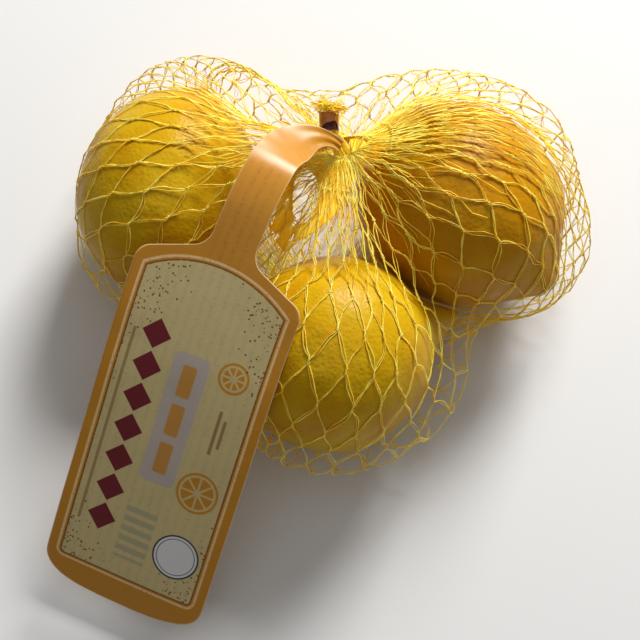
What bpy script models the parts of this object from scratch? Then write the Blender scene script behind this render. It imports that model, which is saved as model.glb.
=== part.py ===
"""Net of lemons: three lemons in a knitted net that is gathered at a neck and carries a hang label.

Metres, +Z up. The pack lies on the plane z = 0 with the neck on top, the label runs out towards -Y and the
origin is under the middle of the whole pack.

net_bag   the net over its lemons, one closed solid out to the net, with the cut tail of the net
label     the film label: a panel on a strap that arches up to the neck
collar    the short band that holds the gathered net in front of its cut tail
"""

import math

import bmesh
import bpy
import numpy as np
from mathutils import Vector
from mathutils.geometry import interpolate_bezier

MM = 0.001

# The net bag, in millimetres. A lobe is a lemon: centre, half length, half width, azimuth and dip of its axis.
LEMON_LOBES = {
    "left": ((-48.4, 43.1, 28.6), 33.0, 28.0, 72.0, 0.0),
    "right": ((44.4, 38.6, 31.4), 34.5, 31.0, -30.0, 4.0),
    "front": ((6.0, -11.8, 29.6), 31.5, 29.0, 22.0, 8.0),
}
NET_CLEARANCE = 0.6
# How far the net under each lemon is pressed flat where it rests.
REST_PRESS = 1.3
# Slack net that stands off the lemons: centre and half sizes of each pouch.
SLACK_POUCHES = {
    "left_far": ((-39.5, 61.0, 21.0), (31.5, 31.5, 18.0)),
    "left_near": ((-54.5, 28.5, 16.0), (24.0, 21.0, 13.0)),
    "middle_far": ((-4.0, 60.0, 17.0), (29.0, 21.5, 13.0)),
    "right_far": ((38.0, 56.0, 22.0), (44.5, 31.0, 19.0)),
    "right_side": ((58.0, 32.0, 20.0), (29.5, 29.0, 17.0)),
    "front_side": ((13.5, -8.5, 18.0), (33.5, 33.0, 15.0)),
    "front_near": ((1.0, -15.5, 17.0), (30.0, 30.0, 14.0)),
    "left_front": ((-25.0, 5.0, 15.0), (28.0, 24.0, 12.0)),
    "underside": ((2.0, 26.0, 14.0), (36.0, 29.0, 11.5)),
}
NECK = (7.6, 46.8, 50.0)
NECK_RADIUS = 4.2
# The net falls from the neck to each of these balls: centre and radius.
TENT_ENDS = {
    "left": ((-46.0, 43.0, 31.0), 25.0),
    "right": ((43.0, 39.0, 34.0), 28.0),
    "front": ((6.2, -9.0, 32.0), 26.0),
    "middle_far": ((-4.0, 60.0, 18.0), 12.0),
    "left_front": ((-24.0, 10.0, 16.0), 12.0),
    "right_front": ((36.0, 9.0, 21.0), 15.0),
}
BLEND = 1.8
# Rounding of the valleys between tents, for each millimetre from the neck, and its least and most.
TENT_BLEND = 0.10
TENT_BLEND_RANGE = (0.2, 4.0)
BAG_CENTRE = (0.8, 24.0, 20.0)
BAG_SUBDIVISIONS = 5
REACH = 130.0
MARCH_STEP = 1.0
HALVINGS = 12

# The cut tail of the net: a bundle through the collar that spreads into a tuft, by points and radii.
TAIL_POINTS = (
    (7.3, 46.4, 50.5),
    (5.6, 49.3, 53.0),
    (2.9, 51.9, 56.0),
    (2.7, 54.7, 57.4),
    (2.8, 57.5, 58.8),
    (3.3, 60.1, 60.1),
)
TAIL_RADII = (3.6, 2.2, 1.8, 1.9, 1.9, 3.7)
TAIL_SIDES = 3
TAIL_STEPS = 4

# The collar, an open band over the bundle.
COLLAR_RADIUS = 2.7
COLLAR_LENGTH = 5.8
COLLAR_WRAP = math.radians(235.0)
COLLAR_WALL = 0.45
COLLAR_SEGMENTS = (20, 3)

# The label, from its free end to the neck: points of its centre line and the roll about it in degrees.
LABEL_STATIONS = (
    ((-63.2, -84.6, 7.4), 0.0),
    ((-59.2, -75.2, 15.2), 1.0),
    ((-52.2, -57.4, 28.0), 2.0),
    ((-45.0, -38.6, 40.2), 3.0),
    ((-38.0, -19.8, 51.2), 3.0),
    ((-31.3, -2.3, 60.0), 2.0),
    ((-25.1, 12.0, 66.4), 1.0),
    ((-20.7, 21.5, 70.4), 0.0),
    ((-17.5, 28.0, 72.1), 0.0),
    ((-14.9, 33.1, 72.4), 0.0),
    ((-13.0, 36.8, 71.5), 0.0),
    ((-11.2, 39.9, 69.5), 0.0),
    ((-8.8, 42.9, 66.8), 0.0),
    ((-5.6, 45.7, 64.0), 0.0),
    ((-2.2, 47.5, 62.0), 0.0),
    ((1.2, 48.1, 60.4), 0.0),
    ((4.2, 47.7, 58.6), 0.0),
    ((6.2, 46.9, 56.4), 0.0),
)
LABEL_THICKNESS = 0.5
PANEL_HALF_WIDTH = 26.2
STRAP_HALF_WIDTH = 7.0
NECK_HALF_WIDTH = 1.8
PINCH_START = 21.0
PINCH_END = 0.8
PANEL_LENGTH = 106.6
PANEL_END_DEPTH = 11.0
PANEL_END_POWER = 2.9
SHOULDER_SLOPE = math.radians(22.0)
SHOULDER_FILLET = 6.5
SHOULDER_CORNER = 5.0
LABEL_STEP = 2.6
LABEL_FINE_STEP = 0.9
LABEL_COLUMNS = 10
LABEL_FIRST_ROW = 0.2
LABEL_PATH_STEPS = 8

# Where the middle of the pack lies in the coordinates above.
PACK_MIDDLE = (1.44, 0.50)

NET_YELLOW = (0.78, 0.62, 0.10, 1.0)
FILM_ORANGE = (0.68, 0.36, 0.07, 1.0)
COLLAR_ORANGE = (0.55, 0.25, 0.04, 1.0)


def clear_scene():
    """Removes every object of the open scene."""
    for obj in list(bpy.data.objects):
        bpy.data.objects.remove(obj, do_unlink=True)


def material(name, colour, roughness):
    """Returns a Principled material of one colour."""
    result = bpy.data.materials.new(name)
    result.use_nodes = True
    shader = result.node_tree.nodes["Principled BSDF"]
    shader.inputs["Base Color"].default_value = colour
    shader.inputs["Roughness"].default_value = roughness
    shader.inputs["Metallic"].default_value = 0.0
    return result


def placed(point):
    """Turns a point in millimetres about the design's own zero into metres about the pack's middle."""
    return Vector((point[0] - PACK_MIDDLE[0], point[1] - PACK_MIDDLE[1], point[2])) * MM


def lemon_axis(azimuth, dip):
    """Returns the unit vector of a lemon's long axis."""
    azimuth = math.radians(azimuth)
    dip = math.radians(dip)
    return np.array((math.cos(azimuth) * math.cos(dip), math.sin(azimuth) * math.cos(dip), -math.sin(dip)))


def lemon_distance(points, centre, half_length, half_width, azimuth, dip):
    """Returns the distance of each point outside a lemon's egg of revolution, negative inside it."""
    axis = lemon_axis(azimuth, dip)
    local = points - np.array(centre) + np.array((0.0, 0.0, REST_PRESS))
    along = local @ axis
    across = np.sqrt(np.maximum((local ** 2).sum(axis=1) - along ** 2, 0.0))
    long_half = half_length + NET_CLEARANCE
    wide_half = half_width + NET_CLEARANCE
    return (np.hypot(along / long_half, across / wide_half) - 1.0) * wide_half


def pouch_distance(points, centre, halves):
    """Returns the distance of each point outside an ellipsoid with upright axes, negative inside it."""
    scaled = (points - np.array(centre)) / np.array(halves)
    return (np.sqrt((scaled ** 2).sum(axis=1)) - 1.0) * min(halves)


def tent_distance(points, end, end_radius):
    """Returns the distance of each point outside the net drawn from the neck over a ball."""
    start = np.array(NECK)
    run = np.array(end) - start
    length = np.linalg.norm(run)
    slope = (end_radius - NECK_RADIUS) / length
    local = points - start
    along = local @ (run / length)
    across = np.sqrt(np.maximum((local ** 2).sum(axis=1) - along ** 2, 0.0))
    foot = np.clip(along + across * slope / math.sqrt(1.0 - slope ** 2), 0.0, length)
    return np.hypot(along - foot, across) - (NECK_RADIUS + slope * foot)


def blended(distances, width):
    """Returns the nearest of several distances at each point, rounded over the width given."""
    nearest = distances.min(axis=0)
    return nearest - width * np.log(np.exp((nearest - distances) / width).sum(axis=0))


def bag_distance(points):
    """Returns the distance of each point outside the whole net, its pieces blended into one skin."""
    tents = np.array([tent_distance(points, *tent) for tent in TENT_ENDS.values()])
    from_neck = np.linalg.norm(points - np.array(NECK), axis=1)
    parts = [lemon_distance(points, *lobe) for lobe in LEMON_LOBES.values()]
    parts += [pouch_distance(points, *pouch) for pouch in SLACK_POUCHES.values()]
    parts.append(blended(tents, np.clip(TENT_BLEND * from_neck, *TENT_BLEND_RANGE)))
    return blended(np.array(parts), BLEND)


def bag_reach(directions):
    """Returns how far the net's skin lies from the bag's centre along each direction."""
    centre = np.array(BAG_CENTRE)
    outer = np.full(len(directions), REACH)
    inner = np.zeros(len(directions))
    open_rays = np.ones(len(directions), dtype=bool)
    for distance in np.arange(REACH, 0.0, -MARCH_STEP):
        inside = bag_distance(centre + directions * distance) < 0.0
        found = open_rays & inside
        inner[found] = distance
        open_rays &= ~inside
        outer[open_rays] = distance
    for _ in range(HALVINGS):
        middle = (inner + outer) / 2.0
        inside = bag_distance(centre + directions * middle[:, None]) < 0.0
        inner = np.where(inside, middle, inner)
        outer = np.where(inside, outer, middle)
    return inner


def net_skin(collection):
    """Makes the closed skin of the net, flat where a lemon rests."""
    work = bmesh.new()
    bmesh.ops.create_icosphere(work, subdivisions=BAG_SUBDIVISIONS, radius=1.0)
    work.verts.ensure_lookup_table()
    directions = np.array([vert.co.normalized()[:] for vert in work.verts])
    reach = bag_reach(directions)
    for vert, direction, distance in zip(work.verts, directions, reach):
        point = np.array(BAG_CENTRE) + direction * distance
        vert.co = placed((point[0], point[1], max(point[2], 0.0)))
    mesh = bpy.data.meshes.new("net_bag")
    work.to_mesh(mesh)
    work.free()
    obj = bpy.data.objects.new("net_bag", mesh)
    collection.objects.link(obj)
    return obj


def tail_cutter(collection):
    """Makes the gathered tail of the net as a mesh, to be joined to the skin."""
    curve = bpy.data.curves.new("net_tail_path", "CURVE")
    curve.dimensions = "3D"
    curve.bevel_depth = MM
    curve.bevel_resolution = TAIL_SIDES
    curve.use_fill_caps = True
    spline = curve.splines.new("POLY")
    points, radii = smooth_run(TAIL_POINTS, TAIL_RADII, TAIL_STEPS)
    spline.points.add(len(points) - 1)
    for target, point, radius in zip(spline.points, points, radii):
        target.co = (*placed(point), 1.0)
        target.radius = radius
    guide = bpy.data.objects.new("net_tail_path", curve)
    collection.objects.link(guide)
    bpy.context.view_layer.update()
    evaluated = guide.evaluated_get(bpy.context.evaluated_depsgraph_get())
    mesh = bpy.data.meshes.new_from_object(evaluated)
    work = bmesh.new()
    work.from_mesh(mesh)
    bmesh.ops.remove_doubles(work, verts=work.verts, dist=0.00001)
    bmesh.ops.recalc_face_normals(work, faces=work.faces)
    work.to_mesh(mesh)
    work.free()
    cutter = bpy.data.objects.new("net_tail", mesh)
    cutter.matrix_world = guide.matrix_world
    collection.objects.link(cutter)
    bpy.data.objects.remove(guide, do_unlink=True)
    cutter.hide_render = True
    cutter.display_type = "WIRE"
    return cutter


def smooth_run(points, values, steps):
    """Reads points and their values from a smooth curve through the given ones."""
    vectors = [Vector(point) for point in points]
    padded = [vectors[0] * 2.0 - vectors[1], *vectors, vectors[-1] * 2.0 - vectors[-2]]
    run = []
    amounts = []
    for index in range(1, len(padded) - 2):
        before, start, end, after = padded[index - 1:index + 3]
        leaving = start + (end - before) / 6.0
        arriving = end - (after - start) / 6.0
        piece = interpolate_bezier(start, leaving, arriving, end, steps + 1)
        low = values[index - 1]
        high = values[index]
        for step in range(steps):
            run.append(piece[step])
            amounts.append(low + (high - low) * step / steps)
    run.append(vectors[-1])
    amounts.append(values[-1])
    return run, amounts


def label_half_width(along):
    """Returns the label's half width at a distance from its free end."""
    total = PANEL_HALF_WIDTH - STRAP_HALF_WIDTH
    turn = math.pi / 2.0 - SHOULDER_SLOPE
    corner_run = SHOULDER_CORNER * math.sin(turn)
    corner_drop = SHOULDER_CORNER * (1.0 - math.cos(turn))
    fillet_run = SHOULDER_FILLET * math.sin(turn)
    fillet_drop = SHOULDER_FILLET * (1.0 - math.cos(turn))
    straight_drop = total - corner_drop - fillet_drop
    straight_run = straight_drop * math.tan(SHOULDER_SLOPE)
    if along < PANEL_END_DEPTH:
        left = 1.0 - along / PANEL_END_DEPTH
        return PANEL_HALF_WIDTH * (1.0 - left ** PANEL_END_POWER) ** (1.0 / PANEL_END_POWER)
    past = along - PANEL_LENGTH
    if past <= 0.0:
        return PANEL_HALF_WIDTH
    if past < corner_run:
        return PANEL_HALF_WIDTH - SHOULDER_CORNER + math.sqrt(SHOULDER_CORNER ** 2 - past ** 2)
    past -= corner_run
    if past < straight_run:
        return PANEL_HALF_WIDTH - corner_drop - past / math.tan(SHOULDER_SLOPE)
    past -= straight_run
    if past < fillet_run:
        rest = fillet_run - past
        return STRAP_HALF_WIDTH + SHOULDER_FILLET - math.sqrt(SHOULDER_FILLET ** 2 - rest ** 2)
    return STRAP_HALF_WIDTH


def label_rows(length):
    """Returns the distances of the label's rows from its free end, closer where its outline turns."""
    rows = []
    along = LABEL_FIRST_ROW
    while along < length:
        rows.append(along)
        in_end = along < PANEL_END_DEPTH
        in_shoulder = PANEL_LENGTH - LABEL_STEP < along < PANEL_LENGTH + 4.0 * SHOULDER_CORNER
        along += LABEL_FINE_STEP if in_end or in_shoulder else LABEL_STEP
    rows.append(length)
    return rows


def label_frame_at(path, rolls, lengths, along):
    """Returns the point, the sideways direction and the roll of the label's centre line at a distance."""
    index = min(max(int(np.searchsorted(lengths, along)) - 1, 0), len(path) - 2)
    span = lengths[index + 1] - lengths[index]
    part = (along - lengths[index]) / span
    point = path[index].lerp(path[index + 1], part)
    before = path[max(index - 1, 0)]
    after = path[min(index + 2, len(path) - 1)]
    tangent = (after - before).normalized()
    side = tangent.cross(Vector((0.0, 0.0, 1.0))).normalized()
    up = side.cross(tangent)
    roll = math.radians(rolls[index] + (rolls[index + 1] - rolls[index]) * part)
    return point, side * math.cos(roll) + up * math.sin(roll)


def film_label(collection):
    """Makes the label as one bent sheet of film."""
    points, turns = zip(*LABEL_STATIONS)
    path, rolls = smooth_run(points, turns, LABEL_PATH_STEPS)
    steps = [(after - before).length for before, after in zip(path, path[1:])]
    lengths = np.concatenate(([0.0], np.cumsum(steps)))
    total = float(lengths[-1])
    rows = label_rows(total)
    work = bmesh.new()
    bmesh.ops.create_grid(work, x_segments=LABEL_COLUMNS, y_segments=len(rows) - 1, size=1.0)
    for vert in work.verts:
        row = round((vert.co.y + 1.0) / 2.0 * (len(rows) - 1))
        along = rows[row]
        point, side = label_frame_at(path, rolls, lengths, along)
        half = label_half_width(along)
        pinch = min(max((PINCH_START - total + along) / (PINCH_START - PINCH_END), 0.0), 1.0)
        pinch = pinch * pinch * (3.0 - 2.0 * pinch)
        half += (NECK_HALF_WIDTH - half) * pinch
        vert.co = placed(point + side * (half * vert.co.x))
    mesh = bpy.data.meshes.new("label")
    work.to_mesh(mesh)
    work.free()
    obj = bpy.data.objects.new("label", mesh)
    collection.objects.link(obj)
    wall = obj.modifiers.new("film", "SOLIDIFY")
    wall.thickness = LABEL_THICKNESS * MM
    wall.offset = 0.0
    return obj


def collar_band(collection):
    """Makes the open band round the bundle, its length along the bundle."""
    start = Vector(TAIL_POINTS[2])
    end = Vector(TAIL_POINTS[4])
    axis = (end - start).normalized()
    middle = Vector(TAIL_POINTS[3])
    side = axis.cross(Vector((0.0, 0.0, 1.0))).normalized()
    up = side.cross(axis)
    work = bmesh.new()
    bmesh.ops.create_grid(work, x_segments=COLLAR_SEGMENTS[0], y_segments=COLLAR_SEGMENTS[1], size=1.0)
    for vert in work.verts:
        angle = vert.co.x * COLLAR_WRAP / 2.0
        radial = up * math.cos(angle) + side * math.sin(angle)
        lift = axis * (vert.co.y * COLLAR_LENGTH / 2.0)
        vert.co = placed(middle + lift + radial * COLLAR_RADIUS)
    bmesh.ops.recalc_face_normals(work, faces=work.faces)
    mesh = bpy.data.meshes.new("collar")
    work.to_mesh(mesh)
    work.free()
    obj = bpy.data.objects.new("collar", mesh)
    collection.objects.link(obj)
    wall = obj.modifiers.new("wall", "SOLIDIFY")
    wall.thickness = COLLAR_WALL * MM
    wall.offset = 1.0
    return obj


def join_tail(bag, tail):
    """Joins the cut tail to the net's skin."""
    union = bag.modifiers.new("tail", "BOOLEAN")
    union.operation = "UNION"
    union.solver = "EXACT"
    union.object = tail


def dress(obj, look):
    """Gives a piece its material and smooth shading."""
    obj.data.materials.append(look)
    obj.data.shade_smooth()


def build():
    """Builds the pack."""
    clear_scene()
    pack = bpy.data.collections.new("net_of_lemons")
    guides = bpy.data.collections.new("guides")
    bpy.context.scene.collection.children.link(pack)
    bpy.context.scene.collection.children.link(guides)
    bag = net_skin(pack)
    join_tail(bag, tail_cutter(guides))
    dress(bag, material("yellow_net", NET_YELLOW, 0.45))
    dress(film_label(pack), material("orange_film", FILM_ORANGE, 0.3))
    dress(collar_band(pack), material("brown_band", COLLAR_ORANGE, 0.3))


build()
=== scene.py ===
"""Looks of the net of lemons: three lemons in a knitted yellow net, its neck, band and hang label."""

from __future__ import annotations

import logging
import math
import random
from dataclasses import dataclass, field
from enum import Enum
from typing import Any, Iterable, Sequence

import bmesh
import bpy
import numpy as np
from mathutils import Matrix, Vector, noise
from mathutils.bvhtree import BVHTree
from mathutils.geometry import interpolate_bezier

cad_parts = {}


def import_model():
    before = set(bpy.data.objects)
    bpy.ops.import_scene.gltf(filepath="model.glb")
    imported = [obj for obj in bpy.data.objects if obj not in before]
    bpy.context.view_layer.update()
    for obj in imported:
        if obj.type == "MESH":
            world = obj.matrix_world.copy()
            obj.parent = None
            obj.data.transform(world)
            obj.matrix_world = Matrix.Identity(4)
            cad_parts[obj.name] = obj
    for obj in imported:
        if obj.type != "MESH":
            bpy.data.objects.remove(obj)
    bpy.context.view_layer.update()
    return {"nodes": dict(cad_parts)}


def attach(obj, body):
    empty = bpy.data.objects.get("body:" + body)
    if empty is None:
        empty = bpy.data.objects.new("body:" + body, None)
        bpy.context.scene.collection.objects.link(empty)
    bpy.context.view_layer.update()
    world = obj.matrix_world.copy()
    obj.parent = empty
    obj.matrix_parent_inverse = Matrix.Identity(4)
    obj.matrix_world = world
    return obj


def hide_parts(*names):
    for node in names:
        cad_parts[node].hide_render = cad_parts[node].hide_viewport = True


LOG = logging.getLogger("net_of_lemons")
MM = 0.001
BODY = "root"
Point = tuple[float, float, float]
Spot = tuple[float, float]
GOLDEN_TURN = math.pi * (3.0 - math.sqrt(5.0))
UP = Vector((0.0, 0.0, 1.0))
# Places in millimetres from the frame's origin: where the net is drawn together, and the cut tail behind it.
NECK: Point = (6.16, 46.3, 50.0)
TAIL_PATH: tuple[Point, ...] = (
    (5.86, 45.9, 50.5),
    (4.16, 48.8, 53.0),
    (1.46, 51.4, 56.0),
    (1.26, 54.2, 57.4),
    (1.36, 57.0, 58.8),
    (1.86, 59.6, 60.1),
)
FLOOR_GAP = 0.22


class Slot(Enum):
    """The record's material slots."""

    NET = "net"
    LABEL = "label_film"
    COLLAR = "collar_film"


def linear(code: str) -> tuple[float, float, float, float]:
    """Turns an sRGB hex colour into linear light.

    Args:
        code: Six hex digits after a hash sign.

    Returns:
        Red, green, blue and an alpha of one.
    """
    channels = [int(code[start : start + 2], 16) / 255.0 for start in (1, 3, 5)]
    low = [value / 12.92 if value <= 0.04045 else ((value + 0.055) / 1.055) ** 2.4 for value in channels]
    return (low[0], low[1], low[2], 1.0)


def feed(tree: bpy.types.NodeTree, node: bpy.types.Node, inputs: dict[Any, Any]) -> None:
    """Sets or links a node's inputs.

    Args:
        tree: The node tree that holds the node.
        node: The node.
        inputs: A value, socket or node for each input, by name or index. A node gives its first live output.
    """
    for key, value in inputs.items():
        if isinstance(value, bpy.types.Node):
            value = next(output for output in value.outputs if output.enabled)
        if isinstance(value, bpy.types.NodeSocket):
            tree.links.new(value, node.inputs[key])
        else:
            node.inputs[key].default_value = value


def add_node(
    tree: bpy.types.NodeTree, kind: str, inputs: dict[Any, Any] | None = None, **settings: Any
) -> bpy.types.Node:
    """Adds a node with its settings and links.

    Args:
        tree: The node tree it goes in.
        kind: The node's type.
        inputs: A value, socket or node for each input, by name or index.
        settings: The node's own properties; stops gives a colour ramp's places and hex colours.

    Returns:
        The new node.
    """
    node = tree.nodes.new(kind)
    stops = settings.pop("stops", ())
    for name, value in settings.items():
        setattr(node, name, value)
    for index, (place, colour) in enumerate(stops):
        ramp = node.color_ramp.elements
        stop = ramp[index] if index < len(ramp) else ramp.new(place)
        stop.position = place
        stop.color = linear(colour)
    feed(tree, node, inputs or {})
    return node


def layered(tree: bpy.types.NodeTree, ground: Any, layers: Iterable[tuple[Any, Any]]) -> Any:
    """Lays inks or stains one over the other.

    Args:
        tree: The node tree they go in.
        ground: The colour or node below them all.
        layers: Each layer's hex colour or node, and the node or socket that says where it covers.

    Returns:
        The node of the last layer.
    """
    for ink, cover in layers:
        ink = linear(ink) if isinstance(ink, str) else ink
        ground = add_node(
            tree, "ShaderNodeMix", {"Factor": cover, "A": ground, "B": ink}, data_type="RGBA"
        )
    return ground


def new_material(name: str) -> tuple[bpy.types.Material, bpy.types.NodeTree, bpy.types.Node]:
    """Makes an empty Principled material.

    Args:
        name: The material's name.

    Returns:
        The material, its node tree and its Principled node.
    """
    material = bpy.data.materials.new(name)
    material.use_nodes = True
    tree = material.node_tree
    return material, tree, tree.nodes["Principled BSDF"]


def smooth_run(points: Sequence[Point], steps: int) -> list[Vector]:
    """Reads points from a smooth curve through the given ones.

    Args:
        points: The points of the curve.
        steps: How many pieces each span is cut into.

    Returns:
        The points along the curve.
    """
    vectors = [Vector(point) for point in points]
    padded = [vectors[0] * 2.0 - vectors[1], *vectors, vectors[-1] * 2.0 - vectors[-2]]
    run = []
    for index in range(1, len(padded) - 2):
        before, start, end, after = padded[index - 1 : index + 3]
        leaving = start + (end - before) / 6.0
        arriving = end - (after - start) / 6.0
        run.extend(interpolate_bezier(start, leaving, arriving, end, steps + 1)[:-1])
    run.append(vectors[-1])
    return run


def mesh_object(name: str, work: bmesh.types.BMesh) -> bpy.types.Object:
    """Turns a bmesh into a smooth-shaded object at the origin and frees it.

    Args:
        name: The object's name.
        work: The bmesh, in metres.

    Returns:
        The object.
    """
    mesh = bpy.data.meshes.new(name)
    work.to_mesh(mesh)
    work.free()
    mesh.shade_smooth()
    obj = bpy.data.objects.new(name, mesh)
    bpy.context.scene.collection.objects.link(obj)
    return obj


def enlist(
    obj: bpy.types.Object, materials: Sequence[bpy.types.Material], slot: Slot, *nodes: str
) -> bpy.types.Object:
    """Gives a piece its finishes and its place in the frame.

    Args:
        obj: The piece.
        materials: Its finishes, in the order of their slots on the mesh.
        slot: Not used.
        nodes: The CAD nodes that it stands for.

    Returns:
        The same piece.
    """
    obj.data.materials.clear()
    for material in materials:
        obj.data.materials.append(material)
    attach(obj, BODY)
    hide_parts(*nodes)
    LOG.info("%s: %d faces", obj.name, len(obj.data.polygons))
    return obj


@dataclass(frozen=True)
class LemonPeel:
    """Waxed lemon peel, grown: oil glands under a glossy skin, so fine dimples and a soft broad sheen."""

    yellow: str = "#CA9E0A"
    deep: str = "#C2860A"
    pale: str = "#D2AC16"
    tip: str = "#9A8A32"
    speck: str = "#5E3F12"
    patch_size: float = 19.8
    gland_spacing: float = 1.15
    dip_spacing: float = 2.99
    pore_spacing: float = 2.7

    def material(self) -> bpy.types.Material:
        """Builds the peel's material.

        Returns:
            The material.
        """
        material, tree, shader = new_material("waxed_lemon_peel")
        place = add_node(tree, "ShaderNodeTexCoord").outputs["Object"]
        patches = add_node(
            tree,
            "ShaderNodeTexNoise",
            {"Vector": place, "Scale": 1.0 / (self.patch_size * MM), "Detail": 3.0, "Roughness": 0.55},
        )
        ripeness = add_node(tree, "ShaderNodeAttribute", attribute_name="ripeness").outputs["Fac"]
        ripened = add_node(tree, "ShaderNodeMath", {0: patches, 1: ripeness}, operation="SUBTRACT")
        tones = ((0.3, self.deep), (0.52, self.yellow), (0.75, self.pale))
        tone = add_node(tree, "ShaderNodeValToRGB", {"Fac": ripened}, stops=tones)
        glands, dips, pores = (
            add_node(
                tree,
                "ShaderNodeTexVoronoi",
                {"Vector": place, "Scale": 1.0 / (spacing * MM), "Randomness": randomness},
                feature=feature,
            )
            for spacing, randomness, feature in (
                (self.gland_spacing, 0.85, "SMOOTH_F1"),
                (self.dip_spacing, 1.0, "SMOOTH_F1"),
                (self.pore_spacing, 1.0, "F1"),
            )
        )
        pit, pore, gloss = (
            add_node(
                tree,
                "ShaderNodeMapRange",
                {"Value": value, "From Min": start, "From Max": end, "To Min": first, "To Max": last},
            )
            for value, start, end, first, last in (
                (glands, 0.05, 0.45, 0.93, 1.0),
                (pores, 0.06, 0.12, 0.55, 0.0),
                (patches, 0.3, 0.7, 0.27, 0.4),
            )
        )
        pitted = add_node(
            tree,
            "ShaderNodeMix",
            {"Factor": 1.0, "A": tone, "B": pit},
            data_type="RGBA",
            blend_type="MULTIPLY",
        )
        end = add_node(tree, "ShaderNodeAttribute", attribute_name="end_mark").outputs["Fac"]
        relief = add_node(
            tree, "ShaderNodeBump", {"Strength": 0.6, "Distance": 0.25 * MM, "Height": glands}
        )
        relief = add_node(
            tree,
            "ShaderNodeBump",
            {"Strength": 0.09, "Distance": 0.5 * MM, "Height": dips, "Normal": relief},
        )
        finish = {
            "Base Color": layered(tree, pitted, ((self.speck, pore), (self.tip, end))),
            "Roughness": gloss,
            "Normal": relief,
            "IOR": 1.45,
            "Specular IOR Level": 0.13,
            "Subsurface Weight": 0.08,
            "Subsurface Radius": (1.0, 0.55, 0.1),
            "Subsurface Scale": 2.0 * MM,
        }
        feed(tree, shader, finish)
        return material


@dataclass(frozen=True)
class NetTape:
    """Polyethylene net tape, slit and stretched, so thin, glossy and clear, with painted light added.

    The painted light is an emission that lightens the tape where it lies in shade, and is the same all over.
    """

    name: str = "yellow_polyethylene_tape"
    bright: str = "#FFE96A"
    deep: str = "#FACD38"
    # Painted light: strength and colour of an even emission that lightens the tape in shade.
    painted_glow: float = 0.04
    painted_glow_colour: str = "#F2BC00"
    shade_size: float = 6.0

    def material(self) -> bpy.types.Material:
        """Builds the tape's material.

        Returns:
            The material.
        """
        material, tree, shader = new_material(self.name)
        place = add_node(tree, "ShaderNodeTexCoord").outputs["Object"]
        change = {"Vector": place, "Scale": 1.0 / (self.shade_size * MM), "Detail": 2.0}
        finish = {
            "Base Color": add_node(
                tree,
                "ShaderNodeValToRGB",
                {"Fac": add_node(tree, "ShaderNodeTexNoise", change)},
                stops=((0.35, self.deep), (0.6, self.bright)),
            ),
            # Painted light: an even emission that lightens the tape where it lies in shade.
            "Emission Color": linear(self.painted_glow_colour),
            "Emission Strength": self.painted_glow,
            "Roughness": 0.32,
            "IOR": 1.51,
            "Specular IOR Level": 0.2,
            "Subsurface Weight": 0.85,
            "Subsurface Radius": (1.0, 0.9, 0.4),
            "Subsurface Scale": 0.1 * MM,
            "Transmission Weight": 0.05,
        }
        feed(tree, shader, finish)
        return material


@dataclass(frozen=True)
class DrawnLayers:
    """Polyethylene net drawn tight, many layers deep, so streaked along the pull and golden in the light.

    The painted light is an emission that lightens the layers where they lie in shade, and is the same all
    over.
    """

    deep: str = "#E6AC16"
    middle: str = "#F8CA30"
    bright: str = "#FFEE7C"
    # Painted light: strength and colour of an even emission that lightens the layers in shade.
    painted_glow: float = 0.15
    painted_glow_colour: str = "#F2B800"
    streaks_around: float = 190.0
    streaks_along: float = 3.5

    def material(self) -> bpy.types.Material:
        """Builds the layers' material.

        Returns:
            The material.
        """
        material, tree, shader = new_material("drawn_polyethylene_layers")
        chart = add_node(tree, "ShaderNodeUVMap", uv_map="drawn")
        stretch = {"Vector": chart, "Scale": (self.streaks_around, self.streaks_along, 1.0)}
        drawn = add_node(tree, "ShaderNodeMapping", stretch)
        streaks = add_node(tree, "ShaderNodeTexNoise", {"Vector": drawn, "Scale": 1.0, "Detail": 3.0})
        tones = ((0.32, self.deep), (0.5, self.middle), (0.68, self.bright))
        finish = {
            "Base Color": add_node(tree, "ShaderNodeValToRGB", {"Fac": streaks}, stops=tones),
            "Normal": add_node(
                tree, "ShaderNodeBump", {"Strength": 0.8, "Distance": 0.3 * MM, "Height": streaks}
            ),
            # Painted light: an even emission that lightens the layers where they lie in shade.
            "Emission Color": linear(self.painted_glow_colour),
            "Emission Strength": self.painted_glow,
            "Roughness": 0.35,
            "IOR": 1.51,
            "Specular IOR Level": 0.2,
            "Subsurface Weight": 0.9,
            "Subsurface Radius": (1.0, 0.8, 0.3),
            "Subsurface Scale": 0.08 * MM,
        }
        feed(tree, shader, finish)
        return material


def cover_range(distance: Any, edge: float = 0.0, soft: float = 0.12, most: float = 1.0) -> dict[str, Any]:
    """Gives the range that turns a distance into an ink's cover: most inside the edge, none outside it."""
    limits = {"From Min": edge - soft, "From Max": edge + soft}
    return {"Value": distance, **limits, "To Min": most, "To Max": 0.0}


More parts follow.
